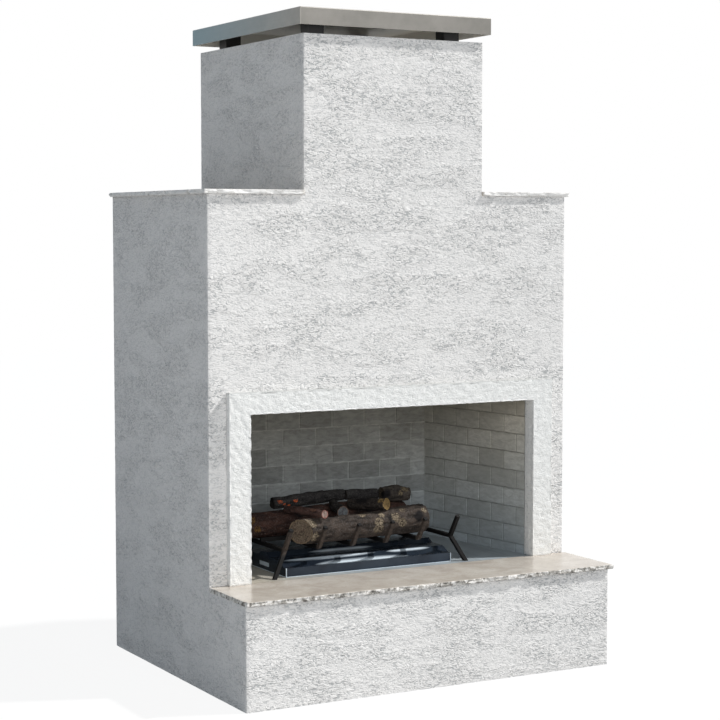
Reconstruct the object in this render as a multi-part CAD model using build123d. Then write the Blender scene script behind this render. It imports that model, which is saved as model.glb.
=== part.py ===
from build123d import *
import math
import os

# An outdoor gas fireplace: a framed and boarded body with a stucco coat, a firebox lined with
# brick-pattern refractory, a stone hearth, and a sheet-metal chimney cap.
# Frame: X across, -Y to the front, +Z up, origin under the middle of the footprint.

os.makedirs("parts", exist_ok=True)

# Driving sizes of the walls, in millimetres
body_width = 1220.0
body_depth = 726.0
body_height = 1428.0
chimney_width = 610.0
chimney_height = 1890.0
hearth_depth = 244.0
hearth_height = 296.0
stucco_coat_thickness = 12.0
board_thickness = 13.0
cut_overrun = 5.0

# Stone slabs
slab_thickness = 13.0
slab_overhang = 12.0
slab_left_overhang = 3.0
coping_side_overhang = 13.0
coping_front_overhang = 10.0
stone_arris = 1.5

# The opening and its raised surround
wall_beside_opening = 126.0
opening_height = 489.0
surround_side_band = 70.5
surround_head_band = 65.0
surround_projection = 20.0
surround_return_depth = 28.7
surround_return_wall = 12.0
surround_arris = 2.0

# Firebox and its refractory lining
lining_taper = 69.0
firebox_depth = 525.0
lining_thickness = 32.0
lining_rise_above_opening = 42.0
floor_thickness = 32.0
shell_gauge = 2.0
brick_course = 58.0
brick_first_course = 28.0
brick_length = 119.0
back_first_joint = 65.0
side_first_joint = 40.0
joint_width = 6.0
joint_depth = 2.0

# Smoke hood, flue and chimney top
flue_diameter = 254.0
flue_gauge = 1.5
hood_top = 1200.0
flue_hole_clearance = 0.3
hood_gauge = 1.5
hood_top_width = 580.0
hood_top_depth = 290.0
top_plate_gauge = 3.0

# Chimney cap
cap_overhang_side = 19.5
cap_overhang_end = 16.5
cap_rim = 50.0
cap_gap = 23.0
cap_gauge = 2.0
cap_corner = 3.0
cap_leg_size = 50.8
cap_leg_wall = 3.0
cap_leg_inset = 34.0
cap_leg_right_inset = 65.0
cap_leg_back_inset = 75.0

# Galvanised track and stud
track_width = 41.0
track_flange = 31.0
stud_gauge = 1.2
stud_play = 0.3
side_stud_count = 4
back_stud_count = 4
front_stud_count = 4
chimney_stud_count = 2
hearth_stud_count = 4
hearth_side_stud_count = 2
header_lift = 90.0

# Burner pan, measured from the firebox floor
pan_setback = 30.0
pan_left_gap = 134.0
pan_right_gap = 268.0
pan_depth = 300.0
pan_gauge = 1.5
pan_lip = 27.0
pan_deck = 43.0
pan_ridge = 55.0
pan_ledge = 14.0
pan_slope = 36.0
pan_tread = 62.0
pan_riser = 20.0
slot_count = 9
slot_length_share = 0.7
slot_width = 3.5

# Burner tube and gas train
burner_tube_radius = 9.5
burner_cross_radius = 8.0
burner_end_gap = 53.0
burner_spread = 110.0
burner_height = 22.0
hub_radius = 14.0
gas_pipe_radius = 8.0
gas_pipe_wall = 1.5
gas_bend_radius = 40.0
gas_line_height = 200.0
pipe_hole_clearance = 1.0
valve_length = 46.0
valve_radius = 17.0
valve_boss_radius = 13.0
valve_boss_length = 10.0
valve_inset = 67.0
stem_radius = 5.0
stem_square = 8.0
stem_clearance = 0.05
stem_square_length = 24.0
stem_setback = 12.0
sleeve_bore_radius = 8.0
sleeve_radius = 11.0
sleeve_clearance = 0.3
flange_radius = 35.0
flange_thickness = 3.0
supply_radius = 10.65
supply_wall = 2.8
supply_length = 110.0

# Log grate
grate_bar = 11.0
grate_height = 79.0
grate_setback = 38.0
grate_left_gap = 133.0
grate_right_gap = 266.0
grate_bar_count = 6
grate_depth = 300.0
grate_bend = 14.0
finger_rise = 67.0
finger_lean = 44.0
rear_finger_lean = 12.0
leg_splay = 43.0
leg_reach = 20.0
rear_leg_reach = 8.0
middle_rail_back = 152.0
rear_rail_back = 277.0

# Logs: ends as shares of the grate's width from its left, and distances behind its front
log_clearance = 0.4
front_log_end_shares = (0.09, 0.89)
front_log_left_back = 32.0
front_log_right_back = 68.0
front_log_radius = 45.0
front_log_shares = (0.87, 0.85, 0.86, 0.86, 0.88, 0.97, 1.0)
rear_log_end_shares = (-0.06, 0.907)
rear_log_back = 205.0
rear_log_radius = 46.0
rear_log_shares = (0.85, 0.88, 0.94, 1.0, 0.98, 0.87)
top_left_end_shares = (0.123, 0.544)
top_left_back = 219.0
top_left_radius = 21.0
top_left_shares = (0.9, 1.0, 0.97, 0.92)
top_middle_end_shares = (0.553, 0.745)
top_middle_back = 208.0
top_middle_radius = 18.0
top_middle_shares = (0.94, 1.0, 0.94)
top_right_end_shares = (0.757, 0.92)
top_right_back = 186.0
top_right_radius = 25.5
top_right_shares = (0.86, 1.0, 1.0, 0.9)
left_branch_end_shares = (0.239, 0.167)
left_branch_front_back = 4.0
left_branch_rear_back = 181.0
left_branch_radius = 13.5
left_branch_shares = (1.0, 1.0, 0.92)
middle_branch_end_shares = (0.414, 0.44)
middle_branch_front_back = 76.0
middle_branch_rear_back = 168.0
middle_branch_radius = 17.0
middle_branch_shares = (1.0, 1.0)
right_branch_end_shares = (0.6415, 0.543)
right_branch_front_back = 38.0
right_branch_rear_back = 166.0
right_branch_radius = 19.0
right_branch_shares = (1.0, 0.97, 0.94)
seat_steps = 48
settling_rounds = 16

# Places worked out from the sizes above
body_side = body_width / 2
chimney_side = chimney_width / 2
body_front = (hearth_depth + slab_overhang - body_depth - cap_overhang_end) / 2
body_back = body_front + body_depth
hearth_front = body_front - hearth_depth
hearth_top = hearth_height + slab_thickness
opening_side = body_side - wall_beside_opening
firebox_back_width = 2 * (opening_side - lining_taper)
opening_top = hearth_top + opening_height
board_side = body_side - stucco_coat_thickness
board_inside = board_side - board_thickness
board_front = body_front + stucco_coat_thickness
board_back = body_back - stucco_coat_thickness
frame_front = board_front + board_thickness
frame_back = board_back - board_thickness
cut_side = opening_side + surround_return_wall
cut_top = opening_top + surround_return_wall
reveal_back = body_front + surround_return_depth
floor_bottom = hearth_top - floor_thickness
firebox_base = floor_bottom - shell_gauge
lining_top = opening_top + lining_rise_above_opening
lining_back = body_front + firebox_depth
flue_start = hood_top + hood_gauge
flue_y = (body_front + body_back) / 2
pan_front = body_front + pan_setback
pan_left = opening_side - pan_left_gap
pan_right = opening_side - pan_right_gap
burner_length = pan_left + pan_right - 2 * burner_end_gap
grate_left = opening_side - grate_left_gap
grate_right = opening_side - grate_right_gap
grate_width = grate_left + grate_right
burner_x = (pan_right - pan_left) / 2
burner_y = pan_front + pan_depth / 2
burner_z = hearth_top + burner_height
valve_x = body_side - stucco_coat_thickness - board_thickness - valve_inset
valve_y = burner_y


def block(x0, x1, y0, y1, z0, z1):
    """A box between two opposite corners."""
    middle = Pos((x0 + x1) / 2, (y0 + y1) / 2, (z0 + z1) / 2)
    return middle * Box(x1 - x0, y1 - y0, z1 - z0)


def slanted(points, z0, z1):
    """A straight prism on a closed outline in plan."""
    return Pos(0, 0, z0) * extrude(make_face(Polyline(*points, close=True)), z1 - z0)


def rod(start, end, radius):
    """A round bar from one point to another."""
    start, end = Vector(*start), Vector(*end)
    plane = Plane(origin=start, z_dir=end - start)
    return extrude(plane * Circle(radius), (end - start).length)


def save(node, solids):
    """Write one named piece, or one group of like pieces, as a STEP file."""
    shape = solids[0] if len(solids) == 1 else Compound(children=solids)
    shape.label = node
    export_step(shape, f"parts/{node}.step")


# Stucco coat

def stucco_coat():
    """One trowelled skin over body, chimney and hearth, open below and under each slab."""
    t = stucco_coat_thickness
    body = block(-body_side, body_side, body_front, body_back, 0, body_height)
    chimney = block(-chimney_side, chimney_side, body_front, body_back, body_height, chimney_height)
    hearth = block(-body_side, body_side, hearth_front, body_front, 0, hearth_height)
    inside = block(-board_side, board_side, board_front, board_back, -cut_overrun, body_height)
    throat = block(-chimney_side + t, chimney_side - t, board_front, board_back,
                   body_height - cut_overrun, chimney_height + cut_overrun)
    hearth_inside = block(-board_side, board_side, hearth_front + t, board_front,
                          -cut_overrun, hearth_height + cut_overrun)
    above_slab = block(-board_side, board_side, hearth_front + t, body_front,
                       hearth_height - cut_overrun, hearth_height + cut_overrun)
    sill_strip = block(-board_side, board_side, body_front, board_front, -cut_overrun, hearth_height)
    mouth = block(-cut_side, cut_side, body_front - cut_overrun, board_front + cut_overrun,
                  hearth_height, cut_top)
    hollow_hearth = hearth_inside & block(-body_side, body_side, hearth_front, body_front,
                                          -cut_overrun, hearth_height + cut_overrun)
    sleeve_hole = rod((board_side - cut_overrun, valve_y, gas_line_height),
                      (body_side + cut_overrun, valve_y, gas_line_height),
                      sleeve_radius + sleeve_clearance)
    coat = body + chimney + hearth
    return coat - inside - throat - hollow_hearth - above_slab - sill_strip - mouth - sleeve_hole


# Cement boards behind the stucco

def boards():
    """Every cut board, by name. Side boards run the full depth and the others fit between them."""
    throat_side = chimney_side - stucco_coat_thickness
    throat_inside = throat_side - board_thickness
    shoulder_base = body_height - board_thickness
    throat_top = chimney_height - top_plate_gauge
    deck_base = hearth_height - board_thickness
    hearth_board_front = hearth_front + stucco_coat_thickness
    hearth_board_back = hearth_board_front + board_thickness
    sleeve_hole = rod((board_inside - cut_overrun, valve_y, gas_line_height),
                      (board_side + cut_overrun, valve_y, gas_line_height),
                      sleeve_radius + sleeve_clearance)
    cut = {
        "board_back": block(-board_inside, board_inside, frame_back, board_back, 0, shoulder_base),
        "board_front_upper": block(-board_inside, board_inside, board_front, frame_front,
                                   cut_top, shoulder_base),
        "board_front_lower": block(-cut_side, cut_side, board_front, frame_front, 0, firebox_base),
        "board_chimney_front": block(-throat_inside, throat_inside, board_front, frame_front,
                                     shoulder_base, throat_top),
        "board_chimney_back": block(-throat_inside, throat_inside, frame_back, board_back,
                                    shoulder_base, throat_top),
        "board_hearth_front": block(-board_inside, board_inside, hearth_board_front,
                                    hearth_board_back, 0, deck_base),
        "board_hearth_top": block(-board_side, board_side, hearth_board_front, body_front,
                                  deck_base, hearth_height),
    }
    for side, name in ((-1, "left"), (1, "right")):
        near, far = sorted((side * board_inside, side * board_side))
        wall = block(near, far, board_front, board_back, 0, shoulder_base)
        cut[f"board_{name}"] = wall if side < 0 else wall - sleeve_hole
        jamb_near, jamb_far = sorted((side * cut_side, side * board_inside))
        cut[f"board_front_{name}"] = block(jamb_near, jamb_far, board_front, frame_front, 0, cut_top)
        throat_near, throat_far = sorted((side * throat_inside, side * throat_side))
        cut[f"board_chimney_{name}"] = block(throat_near, throat_far, board_front, board_back,
                                             shoulder_base, throat_top)
        top_near, top_far = sorted((side * throat_side, side * board_side))
        cut[f"board_shoulder_{name}"] = block(top_near, top_far, board_front, board_back,
                                              shoulder_base, body_height)
        cut[f"board_hearth_{name}"] = block(near, far, hearth_board_front, board_front,
                                            0, deck_base)
    return cut


# Galvanised frames behind the boards

def channel(run, opens, x0, x1, y0, y1, z0, z1):
    """A folded channel that fills a box, runs along one axis and is open to one side."""
    low, high = [x0, y0, z0], [x1, y1, z1]
    for axis in range(3):
        if axis == "xyz".index(run):
            low[axis] -= cut_overrun
            high[axis] += cut_overrun
        elif axis != "xyz".index(opens[1]):
            low[axis] += stud_gauge
            high[axis] -= stud_gauge
        elif opens[0] == "+":
            low[axis] += stud_gauge
            high[axis] += cut_overrun
        else:
            low[axis] -= cut_overrun
            high[axis] -= stud_gauge
    hollow = block(low[0], high[0], low[1], high[1], low[2], high[2])
    return block(x0, x1, y0, y1, z0, z1) - hollow


def wall_frame(along, start, end, near, z0, z1, stud_count):
    """Bottom track, top track and evenly spaced studs of one wall, as separate solids."""
    far = near + track_width
    inset = stud_gauge + stud_play
    pieces = []
    for opens, low, high in (("+z", z0, z0 + track_flange), ("-z", z1 - track_flange, z1)):
        sides = (start, end, near, far) if along == "x" else (near, far, start, end)
        pieces.append(channel(along, opens, *sides, low, high))
    pitch = (end - start - track_flange) / (stud_count - 1)
    for number in range(stud_count):
        place = start + number * pitch
        stud = (place, place + track_flange, near + inset, far - inset)
        sides = stud if along == "x" else stud[2:] + stud[:2]
        opens = "+x" if along == "x" else "+y"
        pieces.append(channel("z", opens, *sides, z0 + stud_gauge, z1 - stud_gauge))
    return pieces


def frames():
    """The framed walls, each a group of track and studs."""
    side_near = board_inside - track_width
    shoulder_base = body_height - board_thickness
    throat_top = chimney_height - top_plate_gauge
    throat_inside = chimney_side - stucco_coat_thickness - board_thickness
    hearth_inside = hearth_front + stucco_coat_thickness + board_thickness
    deck_base = hearth_height - board_thickness
    header = lining_top + header_lift
    back_near = frame_back - track_width
    framed = {}
    for side, name in ((-1, "left"), (1, "right")):
        near = -board_inside if side < 0 else side_near
        framed[f"frame_{name}"] = wall_frame("y", frame_front, frame_back, near,
                                             0, shoulder_base, side_stud_count)
    framed["frame_back"] = wall_frame("x", -side_near, side_near, back_near,
                                      0, shoulder_base, back_stud_count)
    framed["frame_front"] = (
        wall_frame("x", -side_near, side_near, frame_front, 0, firebox_base, front_stud_count)
        + wall_frame("x", -side_near, side_near, frame_front, header, shoulder_base,
                     front_stud_count))
    rail_low, rail_high = throat_top - track_flange, throat_top
    rails = [channel("y", "-z", *sorted((side * throat_inside, side * (throat_inside - track_width))),
                     frame_front + track_width, back_near, rail_low, rail_high)
             for side in (-1, 1)]
    framed["frame_chimney"] = (
        wall_frame("x", -throat_inside, throat_inside, frame_front, shoulder_base, throat_top,
                   chimney_stud_count)
        + wall_frame("x", -throat_inside, throat_inside, back_near, shoulder_base, throat_top,
                     chimney_stud_count)
        + rails)
    framed["frame_hearth"] = (
        wall_frame("x", -board_inside, board_inside, hearth_inside, 0, deck_base,
                   hearth_stud_count)
        + wall_frame("y", hearth_inside + track_width, board_front, -board_inside,
                     0, deck_base, hearth_side_stud_count)
        + wall_frame("y", hearth_inside + track_width, board_front, side_near,
                     0, deck_base, hearth_side_stud_count))
    pitch = (frame_back - frame_front - track_flange) / (side_stud_count - 1)
    framed["frame_front"] += [
        channel("x", "+y", -side_near, side_near, place, place + track_flange,
                firebox_base - track_width, firebox_base)
        for place in (frame_front + pitch, frame_front + 2 * pitch)]
    return framed


# Surround and stone

def surround():
    """Three raised strips round the opening, each with a return that lines the wall's edge."""
    outside = opening_side + surround_side_band
    face = body_front - surround_projection
    strips = {}
    for side, name in ((-1, "left"), (1, "right")):
        near, far = sorted((side * opening_side, side * outside))
        band = block(near, far, face, body_front, hearth_top, opening_top)
        near, far = sorted((side * opening_side, side * cut_side))
        strip = band + block(near, far, body_front, reveal_back, hearth_top, opening_top)
        edges = strip.edges().filter_by(Axis.Z).group_by(Axis.Y)[0]
        strips[f"surround_{name}"] = fillet(edges, surround_arris)
    head_top = opening_top + surround_head_band
    head = block(-outside, outside, face, body_front, opening_top, head_top)
    head += block(-cut_side, cut_side, body_front, reveal_back, opening_top, cut_top)
    edges = head.edges().filter_by(Axis.X).group_by(Axis.Y)[0]
    strips["surround_head"] = fillet(edges, surround_arris)
    return strips


def stones():
    """Hearth slab and the two shoulder copings, with eased upper edges."""
    left = -body_side - slab_left_overhang
    right = body_side + slab_overhang
    front = hearth_front - slab_overhang
    cut = {"hearth_slab": block(left, right, front, body_front, hearth_height, hearth_top)}
    for sign, name in ((-1, "left"), (1, "right")):
        near, far = sorted((sign * chimney_side, sign * (body_side + coping_side_overhang)))
        cut[f"coping_{name}"] = block(near, far, body_front - coping_front_overhang, body_back,
                                      body_height, body_height + slab_thickness)
    for name, stone in cut.items():
        top = stone.faces().sort_by(Axis.Z)[-1]
        cut[name] = fillet(top.edges(), stone_arris)
    return cut


# Refractory lining: panels with raised bricks between sunk mortar joints

def brick_joints(width, height, first_joint):
    """Sunk joints of a running bond on a wall from X = 0 to width, Z = 0 to height, at Y = 0."""
    grooves = []
    half = joint_width / 2
    low = -cut_overrun
    course = 0
    while low < height:
        bed = brick_first_course + course * brick_course
        grooves.append(block(-cut_overrun, width + cut_overrun, -joint_depth, joint_depth,
                             bed - half, bed + half))
        place = first_joint - (brick_length / 2 if course % 2 else 0)
        while place < width - joint_width:
            if place > joint_width:
                grooves.append(block(place - half, place + half, -joint_depth, joint_depth,
                                     low, min(bed, height) - half))
            place += brick_length
        low = bed + half
        course += 1
    return grooves


def lining():
    """Splayed side panels, back panel and floor of the firebox."""
    run = lining_back - reveal_back
    fall = opening_side - firebox_back_width / 2
    splay = math.atan2(fall, run)
    reach = lining_thickness / math.cos(splay)
    back_side = firebox_back_width / 2
    height = lining_top - hearth_top
    length = math.hypot(run, fall)
    panels = {}
    for side, name in ((-1, "left"), (1, "right")):
        outline = [(side * opening_side, reveal_back), (side * back_side, lining_back),
                   (side * (back_side + reach), lining_back), (side * (opening_side + reach), reveal_back)]
        panel = slanted(outline, hearth_top, lining_top)
        turn = 90 + side * math.degrees(splay)
        place = Pos(side * opening_side, reveal_back, hearth_top) * Rot(0, 0, turn)
        joints = brick_joints(length, height, side_first_joint)
        panels[f"lining_{name}"] = panel - [place * joint for joint in joints]
    wide = back_side + reach
    back = block(-wide, wide, lining_back, lining_back + lining_thickness, hearth_top, lining_top)
    place = Pos(-back_side, lining_back, hearth_top)
    joints = brick_joints(firebox_back_width, height, back_first_joint)
    panels["lining_back"] = back - [place * joint for joint in joints]
    rear = lining_back + lining_thickness
    outline = [(-cut_side, body_front), (cut_side, body_front), (cut_side, reveal_back),
               (opening_side + reach, reveal_back), (wide, lining_back), (wide, rear),
               (-wide, rear), (-wide, lining_back), (-opening_side - reach, reveal_back),
               (-cut_side, reveal_back)]
    riser_hole = rod((burner_x, burner_y, floor_bottom - cut_overrun),
                     (burner_x, burner_y, hearth_top + cut_overrun),
                     gas_pipe_radius + pipe_hole_clearance)
    panels["lining_floor"] = slanted(outline, floor_bottom, hearth_top) - riser_hole
    return panels


def shell_outline(grow):
    """Plan of the lining's outside, grown by a distance, from the front left round the back."""
    run = lining_back - reveal_back
    fall = opening_side - firebox_back_width / 2
    reach = lining_thickness / math.cos(math.atan2(fall, run))
    front_side = opening_side + reach + grow
    back_side = firebox_back_width / 2 + reach + grow
    rear = lining_back + lining_thickness + grow
    return [(-front_side, reveal_back), (front_side, reveal_back), (back_side, lining_back),
            (back_side, rear), (-back_side, rear), (-back_side, lining_back)]


def firebox_shell():
    """The folded steel box that holds the lining: a base sheet and three walls."""
    walls = slanted(shell_outline(shell_gauge), firebox_base, lining_top)
    inside = slanted(shell_outline(0), floor_bottom, lining_top + cut_overrun)
    riser_hole = rod((burner_x, burner_y, firebox_base - cut_overrun),
                     (burner_x, burner_y, floor_bottom + cut_overrun),
                     gas_pipe_radius + pipe_hole_clearance)
    return walls - inside - riser_hole


def hood_outline(front_half, front, back, shrink):
    """The hood's plan at one height, from the front left round the back, moved in by shrink."""
    fall = lining_taper / (lining_back - reveal_back)
    side_shrink = shrink * math.hypot(1, fall)
    corners = ((-1, front + shrink), (1, front + shrink), (1, back - shrink), (-1, back - shrink))
    return [(side * (front_half - side_shrink - (y - front) * fall), y) for side, y in corners]


def hood_top_outline(shrink):
    """The hood's plan where it meets the collar plate under the flue."""
    return hood_outline(hood_top_width / 2, flue_y - hood_top_depth / 2,
                        flue_y + hood_top_depth / 2, shrink)


def smoke_hood():
    """Four flat sheets, mitred at the corners, that narrow from the firebox to the collar plate."""
    _, (side, front), _, (_, rear), *_ = shell_outline(shell_gauge)
    bottoms = [hood_outline(side, front, rear, shrink) for shrink in (0, hood_gauge)]
    tops = [hood_top_outline(shrink) for shrink in (0, hood_gauge)]
    sheets = {}
    for number, name in enumerate(("front", "right", "back", "left")):
        after = (number + 1) % 4
        ends = [make_face(Polyline((*outer[number], z), (*outer[after], z), (*inner[after], z),
                                   (*inner[number], z), close=True))
                for (outer, inner), z in ((bottoms, lining_top), (tops, hood_top))]
        sheets[f"hood_{name}"] = loft(ends, ruled=True)
    return sheets


def hood_collar():
    """Flat plate that closes the hood's top, with a hole under the flue that stands on it."""
    hole = rod((0, flue_y, hood_top - cut_overrun), (0, flue_y, flue_start + cut_overrun),
               flue_diameter / 2 - flue_gauge)
    return slanted(hood_top_outline(0), hood_top, flue_start) - hole


def flue_pipe():
    """A plain round flue from the hood's collar to the chimney's top."""
    height = chimney_height - flue_start
    pipe = Cylinder(flue_diameter / 2, height) - Cylinder(flue_diameter / 2 - flue_gauge, height)
    return Pos(0, flue_y, (chimney_height + flue_start) / 2) * pipe


def chimney_top_plate():
    """Flat sheet that closes the chimney round the flue and carries the cap's legs."""
    side = chimney_side - stucco_coat_thickness
    base = chimney_height - top_plate_gauge
    plate = block(-side, side, board_front, board_back, base, chimney_height)
    hole = rod((0, flue_y, base - cut_overrun), (0, flue_y, chimney_height + cut_overrun),
               flue_diameter / 2 + flue_hole_clearance)
    return plate - hole


# Chimney cap

cap_top = chimney_height + cap_gap + cap_rim


def cap_pan():
    """A folded sheet tray, upside down, with rounded corners."""
    side = chimney_side + cap_overhang_side
    front, back = body_front - cap_overhang_end, body_back + cap_overhang_end
    tray = block(-side, side, front, back, cap_top - cap_rim, cap_top)
    upper = tray.edges().filter_by(Axis.Z) + tray.faces().sort_by(Axis.Z)[-1].edges()
    tray = fillet(upper, cap_corner)
    hollow = block(-side + cap_gauge, side - cap_gauge, front + cap_gauge, back - cap_gauge,
                   cap_top - cap_rim - cut_overrun, cap_top - cap_gauge)
    hollow = fillet(hollow.edges().filter_by(Axis.Z), cap_corner - cap_gauge)
    return tray - hollow


def cap_legs():
    """Four like square tubes between the chimney's top plate and the underside of the cap."""
    height = cap_top - cap_gauge - chimney_height
    tube = Box(cap_leg_size, cap_leg_size, height)
    inner = cap_leg_size - 2 * cap_leg_wall
    tube -= Box(inner, inner, height)
    middle = chimney_height + height / 2
    half = cap_leg_size / 2
    columns = (-chimney_side + cap_leg_inset + half, chimney_side - cap_leg_right_inset - half)
    rows = (body_front + cap_leg_inset + half, body_back - cap_leg_back_inset - half)
    return [Pos(x, y, middle) * tube for y in rows for x in columns]


# Burner and gas train

def burner_pan():
    """A folded stainless pan: front lip, stepped deck with flame slots, and closed ends."""
    front, back = pan_front, pan_front + pan_depth
    half = [(0, pan_lip), (pan_ledge, pan_lip), (pan_ledge + pan_slope, pan_deck),
            (pan_ledge + pan_slope + pan_tread, pan_deck),
            (pan_ledge + pan_slope + pan_tread + pan_riser, pan_ridge)]
    near = [(front + along, hearth_top + up) for along, up in half]
    far = [(back - along, hearth_top + up) for along, up in reversed(half)]
    outline = [(front, hearth_top)] + near + far + [(back, hearth_top)]
    section = make_face(Polyline(*[(0, y, z) for y, z in outline], close=True))
    width = pan_left + pan_right
    solid = Pos(-pan_left, 0, 0) * extrude(section, width, dir=(1, 0, 0))
    inner_outline = offset(section, -pan_gauge, kind=Kind.INTERSECTION)
    hollow = Pos(pan_gauge - pan_left, 0, 0) * extrude(inner_outline, width - 2 * pan_gauge,
                                                       dir=(1, 0, 0))
    floor_cut = block(pan_gauge - pan_left, pan_right - pan_gauge, front + pan_gauge,
                      back - pan_gauge, hearth_top - cut_overrun, hearth_top + 2 * pan_gauge)
    pan = solid - hollow - floor_cut
    pitch = burner_length / slot_count
    slot_length = slot_length_share * pitch
    slots = []
    for row in (-burner_spread / 2, burner_spread / 2):
        for number in range(slot_count):
            x = burner_x + (number - (slot_count - 1) / 2) * pitch
            slot = block(x - slot_length / 2, x + slot_length / 2,
                         burner_y + row - slot_width / 2, burner_y + row + slot_width / 2,
                         hearth_top + pan_lip, hearth_top + pan_ridge + cut_overrun)
            slots.append(slot)
    return pan - slots


def burner_tube():
    """Two burner tubes joined by a cross tube, with a boss for the riser."""
    half = burner_length / 2
    cross = burner_spread / 2
    tubes = [rod((burner_x - half, burner_y + row, burner_z),
                 (burner_x + half, burner_y + row, burner_z), burner_tube_radius)
             for row in (-cross, cross)]
    tubes.append(rod((burner_x, burner_y - cross, burner_z), (burner_x, burner_y + cross, burner_z),
                     burner_cross_radius))
    boss = rod((burner_x, burner_y, hearth_top), (burner_x, burner_y, burner_z), hub_radius)
    return tubes[0] + tubes[1] + tubes[2] + boss


def gas_line():
    """Pipe from the valve under the firebox, with one bend up through the floor."""
    start = (valve_x - valve_length / 2, valve_y, gas_line_height)
    corner = (burner_x, burner_y, gas_line_height)
    path = FilletPolyline(start, corner, (burner_x, burner_y, hearth_top), radius=gas_bend_radius)
    plane = Plane(origin=start, z_dir=Vector(*corner) - Vector(*start))
    return sweep(plane * (Circle(gas_pipe_radius) - Circle(gas_pipe_radius - gas_pipe_wall)), path)


def key_valve():
    """Valve body, its quarter-turn stem, the wall flange with its sleeve, and the supply stub."""
    y, z = valve_y, gas_line_height
    half = valve_length / 2
    boss_end = valve_x + half + valve_boss_length
    body = rod((valve_x - half, y, z), (valve_x + half, y, z), valve_radius)
    body += rod((valve_x + half, y, z), (boss_end, y, z), valve_boss_radius)
    body += rod((valve_x, y, z - valve_radius - valve_boss_length), (valve_x, y, z),
                valve_boss_radius)
    body -= rod((valve_x, y, z), (boss_end + cut_overrun, y, z), stem_radius + stem_clearance)
    face = body_side + flange_thickness
    square_end = face - stem_setback
    square_start = square_end - stem_square_length
    stem = rod((valve_x + stem_clearance, y, z), (square_start, y, z), stem_radius)
    stem += block(square_start, square_end, y - stem_square / 2, y + stem_square / 2,
                  z - stem_square / 2, z + stem_square / 2)
    flange = rod((body_side, y, z), (face, y, z), flange_radius)
    flange += rod((board_inside, y, z), (face, y, z), sleeve_radius)
    flange -= rod((board_inside - cut_overrun, y, z), (face + cut_overrun, y, z),
                  sleeve_bore_radius)
    top = z - valve_radius - valve_boss_length
    stub = rod((valve_x, y, top - supply_length), (valve_x, y, top), supply_radius)
    stub -= rod((valve_x, y, top - supply_length - cut_overrun), (valve_x, y, top + cut_overrun),
                supply_radius - supply_wall)
    return {"valve_body": body, "valve_stem": stem, "valve_flange": flange, "gas_supply_stub": stub}


# Log grate

grate_level = hearth_top + grate_height
grate_front = body_front + grate_setback
grate_back = grate_front + grate_depth


def square_bar(points, bends=0):
    """A square bar swept along a bent path through the given points."""
    path = FilletPolyline(*points, radius=bends) if bends else Line(*points)
    start, after = Vector(*points[0]), Vector(*points[1])
    plane = Plane(origin=start, x_dir=(1, 0, 0), z_dir=after - start)
    return sweep(plane * Rectangle(grate_bar, grate_bar), path)


def log_grate():
    """Welded grate: crossbars bent up at both ends, two rails on top and four splayed legs."""
    bar_places = [-grate_left + number * grate_width / (grate_bar_count - 1)
                  for number in range(grate_bar_count)]
    half = grate_bar / 2
    grate = None
    for x in bar_places:
        bar = square_bar([(x, grate_front - finger_lean, grate_level + finger_rise),
                          (x, grate_front, grate_level), (x, grate_back, grate_level),
                          (x, grate_back + rear_finger_lean, grate_level + finger_rise)],
                         grate_bend)
        grate = bar if grate is None else grate + bar
    for back in (middle_rail_back, rear_rail_back):
        y = grate_front + back
        grate += block(-grate_left - half, grate_right + half, y - half, y + half,
                       grate_level + half - stud_gauge, grate_level + half + grate_bar)
    floor = block(-body_width, body_width, body_front - body_depth, body_back, 0, hearth_top)
    for side, x in ((-1, -grate_left), (1, grate_right)):
        for y, reach in ((grate_front, -leg_reach), (grate_back, rear_leg_reach)):
            top = Vector(x, y, grate_level)
            foot = Vector(x + side * leg_splay, y + reach, hearth_top)
            toe = foot + (foot - top).normalized() * grate_bar
            grate += square_bar([tuple(top), tuple(toe)]) - floor
    return grate


# Logs, each a list of round sections: the middle's X, Y and Z, then the radius

log_bed = grate_level + grate_bar / 2 + log_clearance


def between(low, high, share):
    """The value a given share of the way from one number to another."""
    return low + (high - low) * share


def straight_log(start, end, radius, shares):
    """Sections evenly spaced along a straight axis, with radii that follow the shares."""
    steps = len(shares) - 1
    return [[between(a, b, number / steps) for a, b in zip(start, end)] + [radius * share]
            for number, share in enumerate(shares)]


def across(share):
    """The place a given share of the grate's width from its left."""
    return share * grate_width - grate_left


def bed_log(end_shares, left_back, right_back, radius, shares):
    """A log on the grate's bars, with the underside of every section at one height."""
    left, right = end_shares
    level = straight_log((across(left), grate_front + left_back, log_bed),
                         (across(right), grate_front + right_back, log_bed), radius, shares)
    return [[x, y, z + section_radius, section_radius] for x, y, z, section_radius in level]


def section_at(log, share):
    """A log's section a given share of the way along it."""
    place = min(max(share, 0), 1) * (len(log) - 1)
    number = min(int(place), len(log) - 2)
    return [between(a, b, place - number) for a, b in zip(log[number], log[number + 1])]


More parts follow.
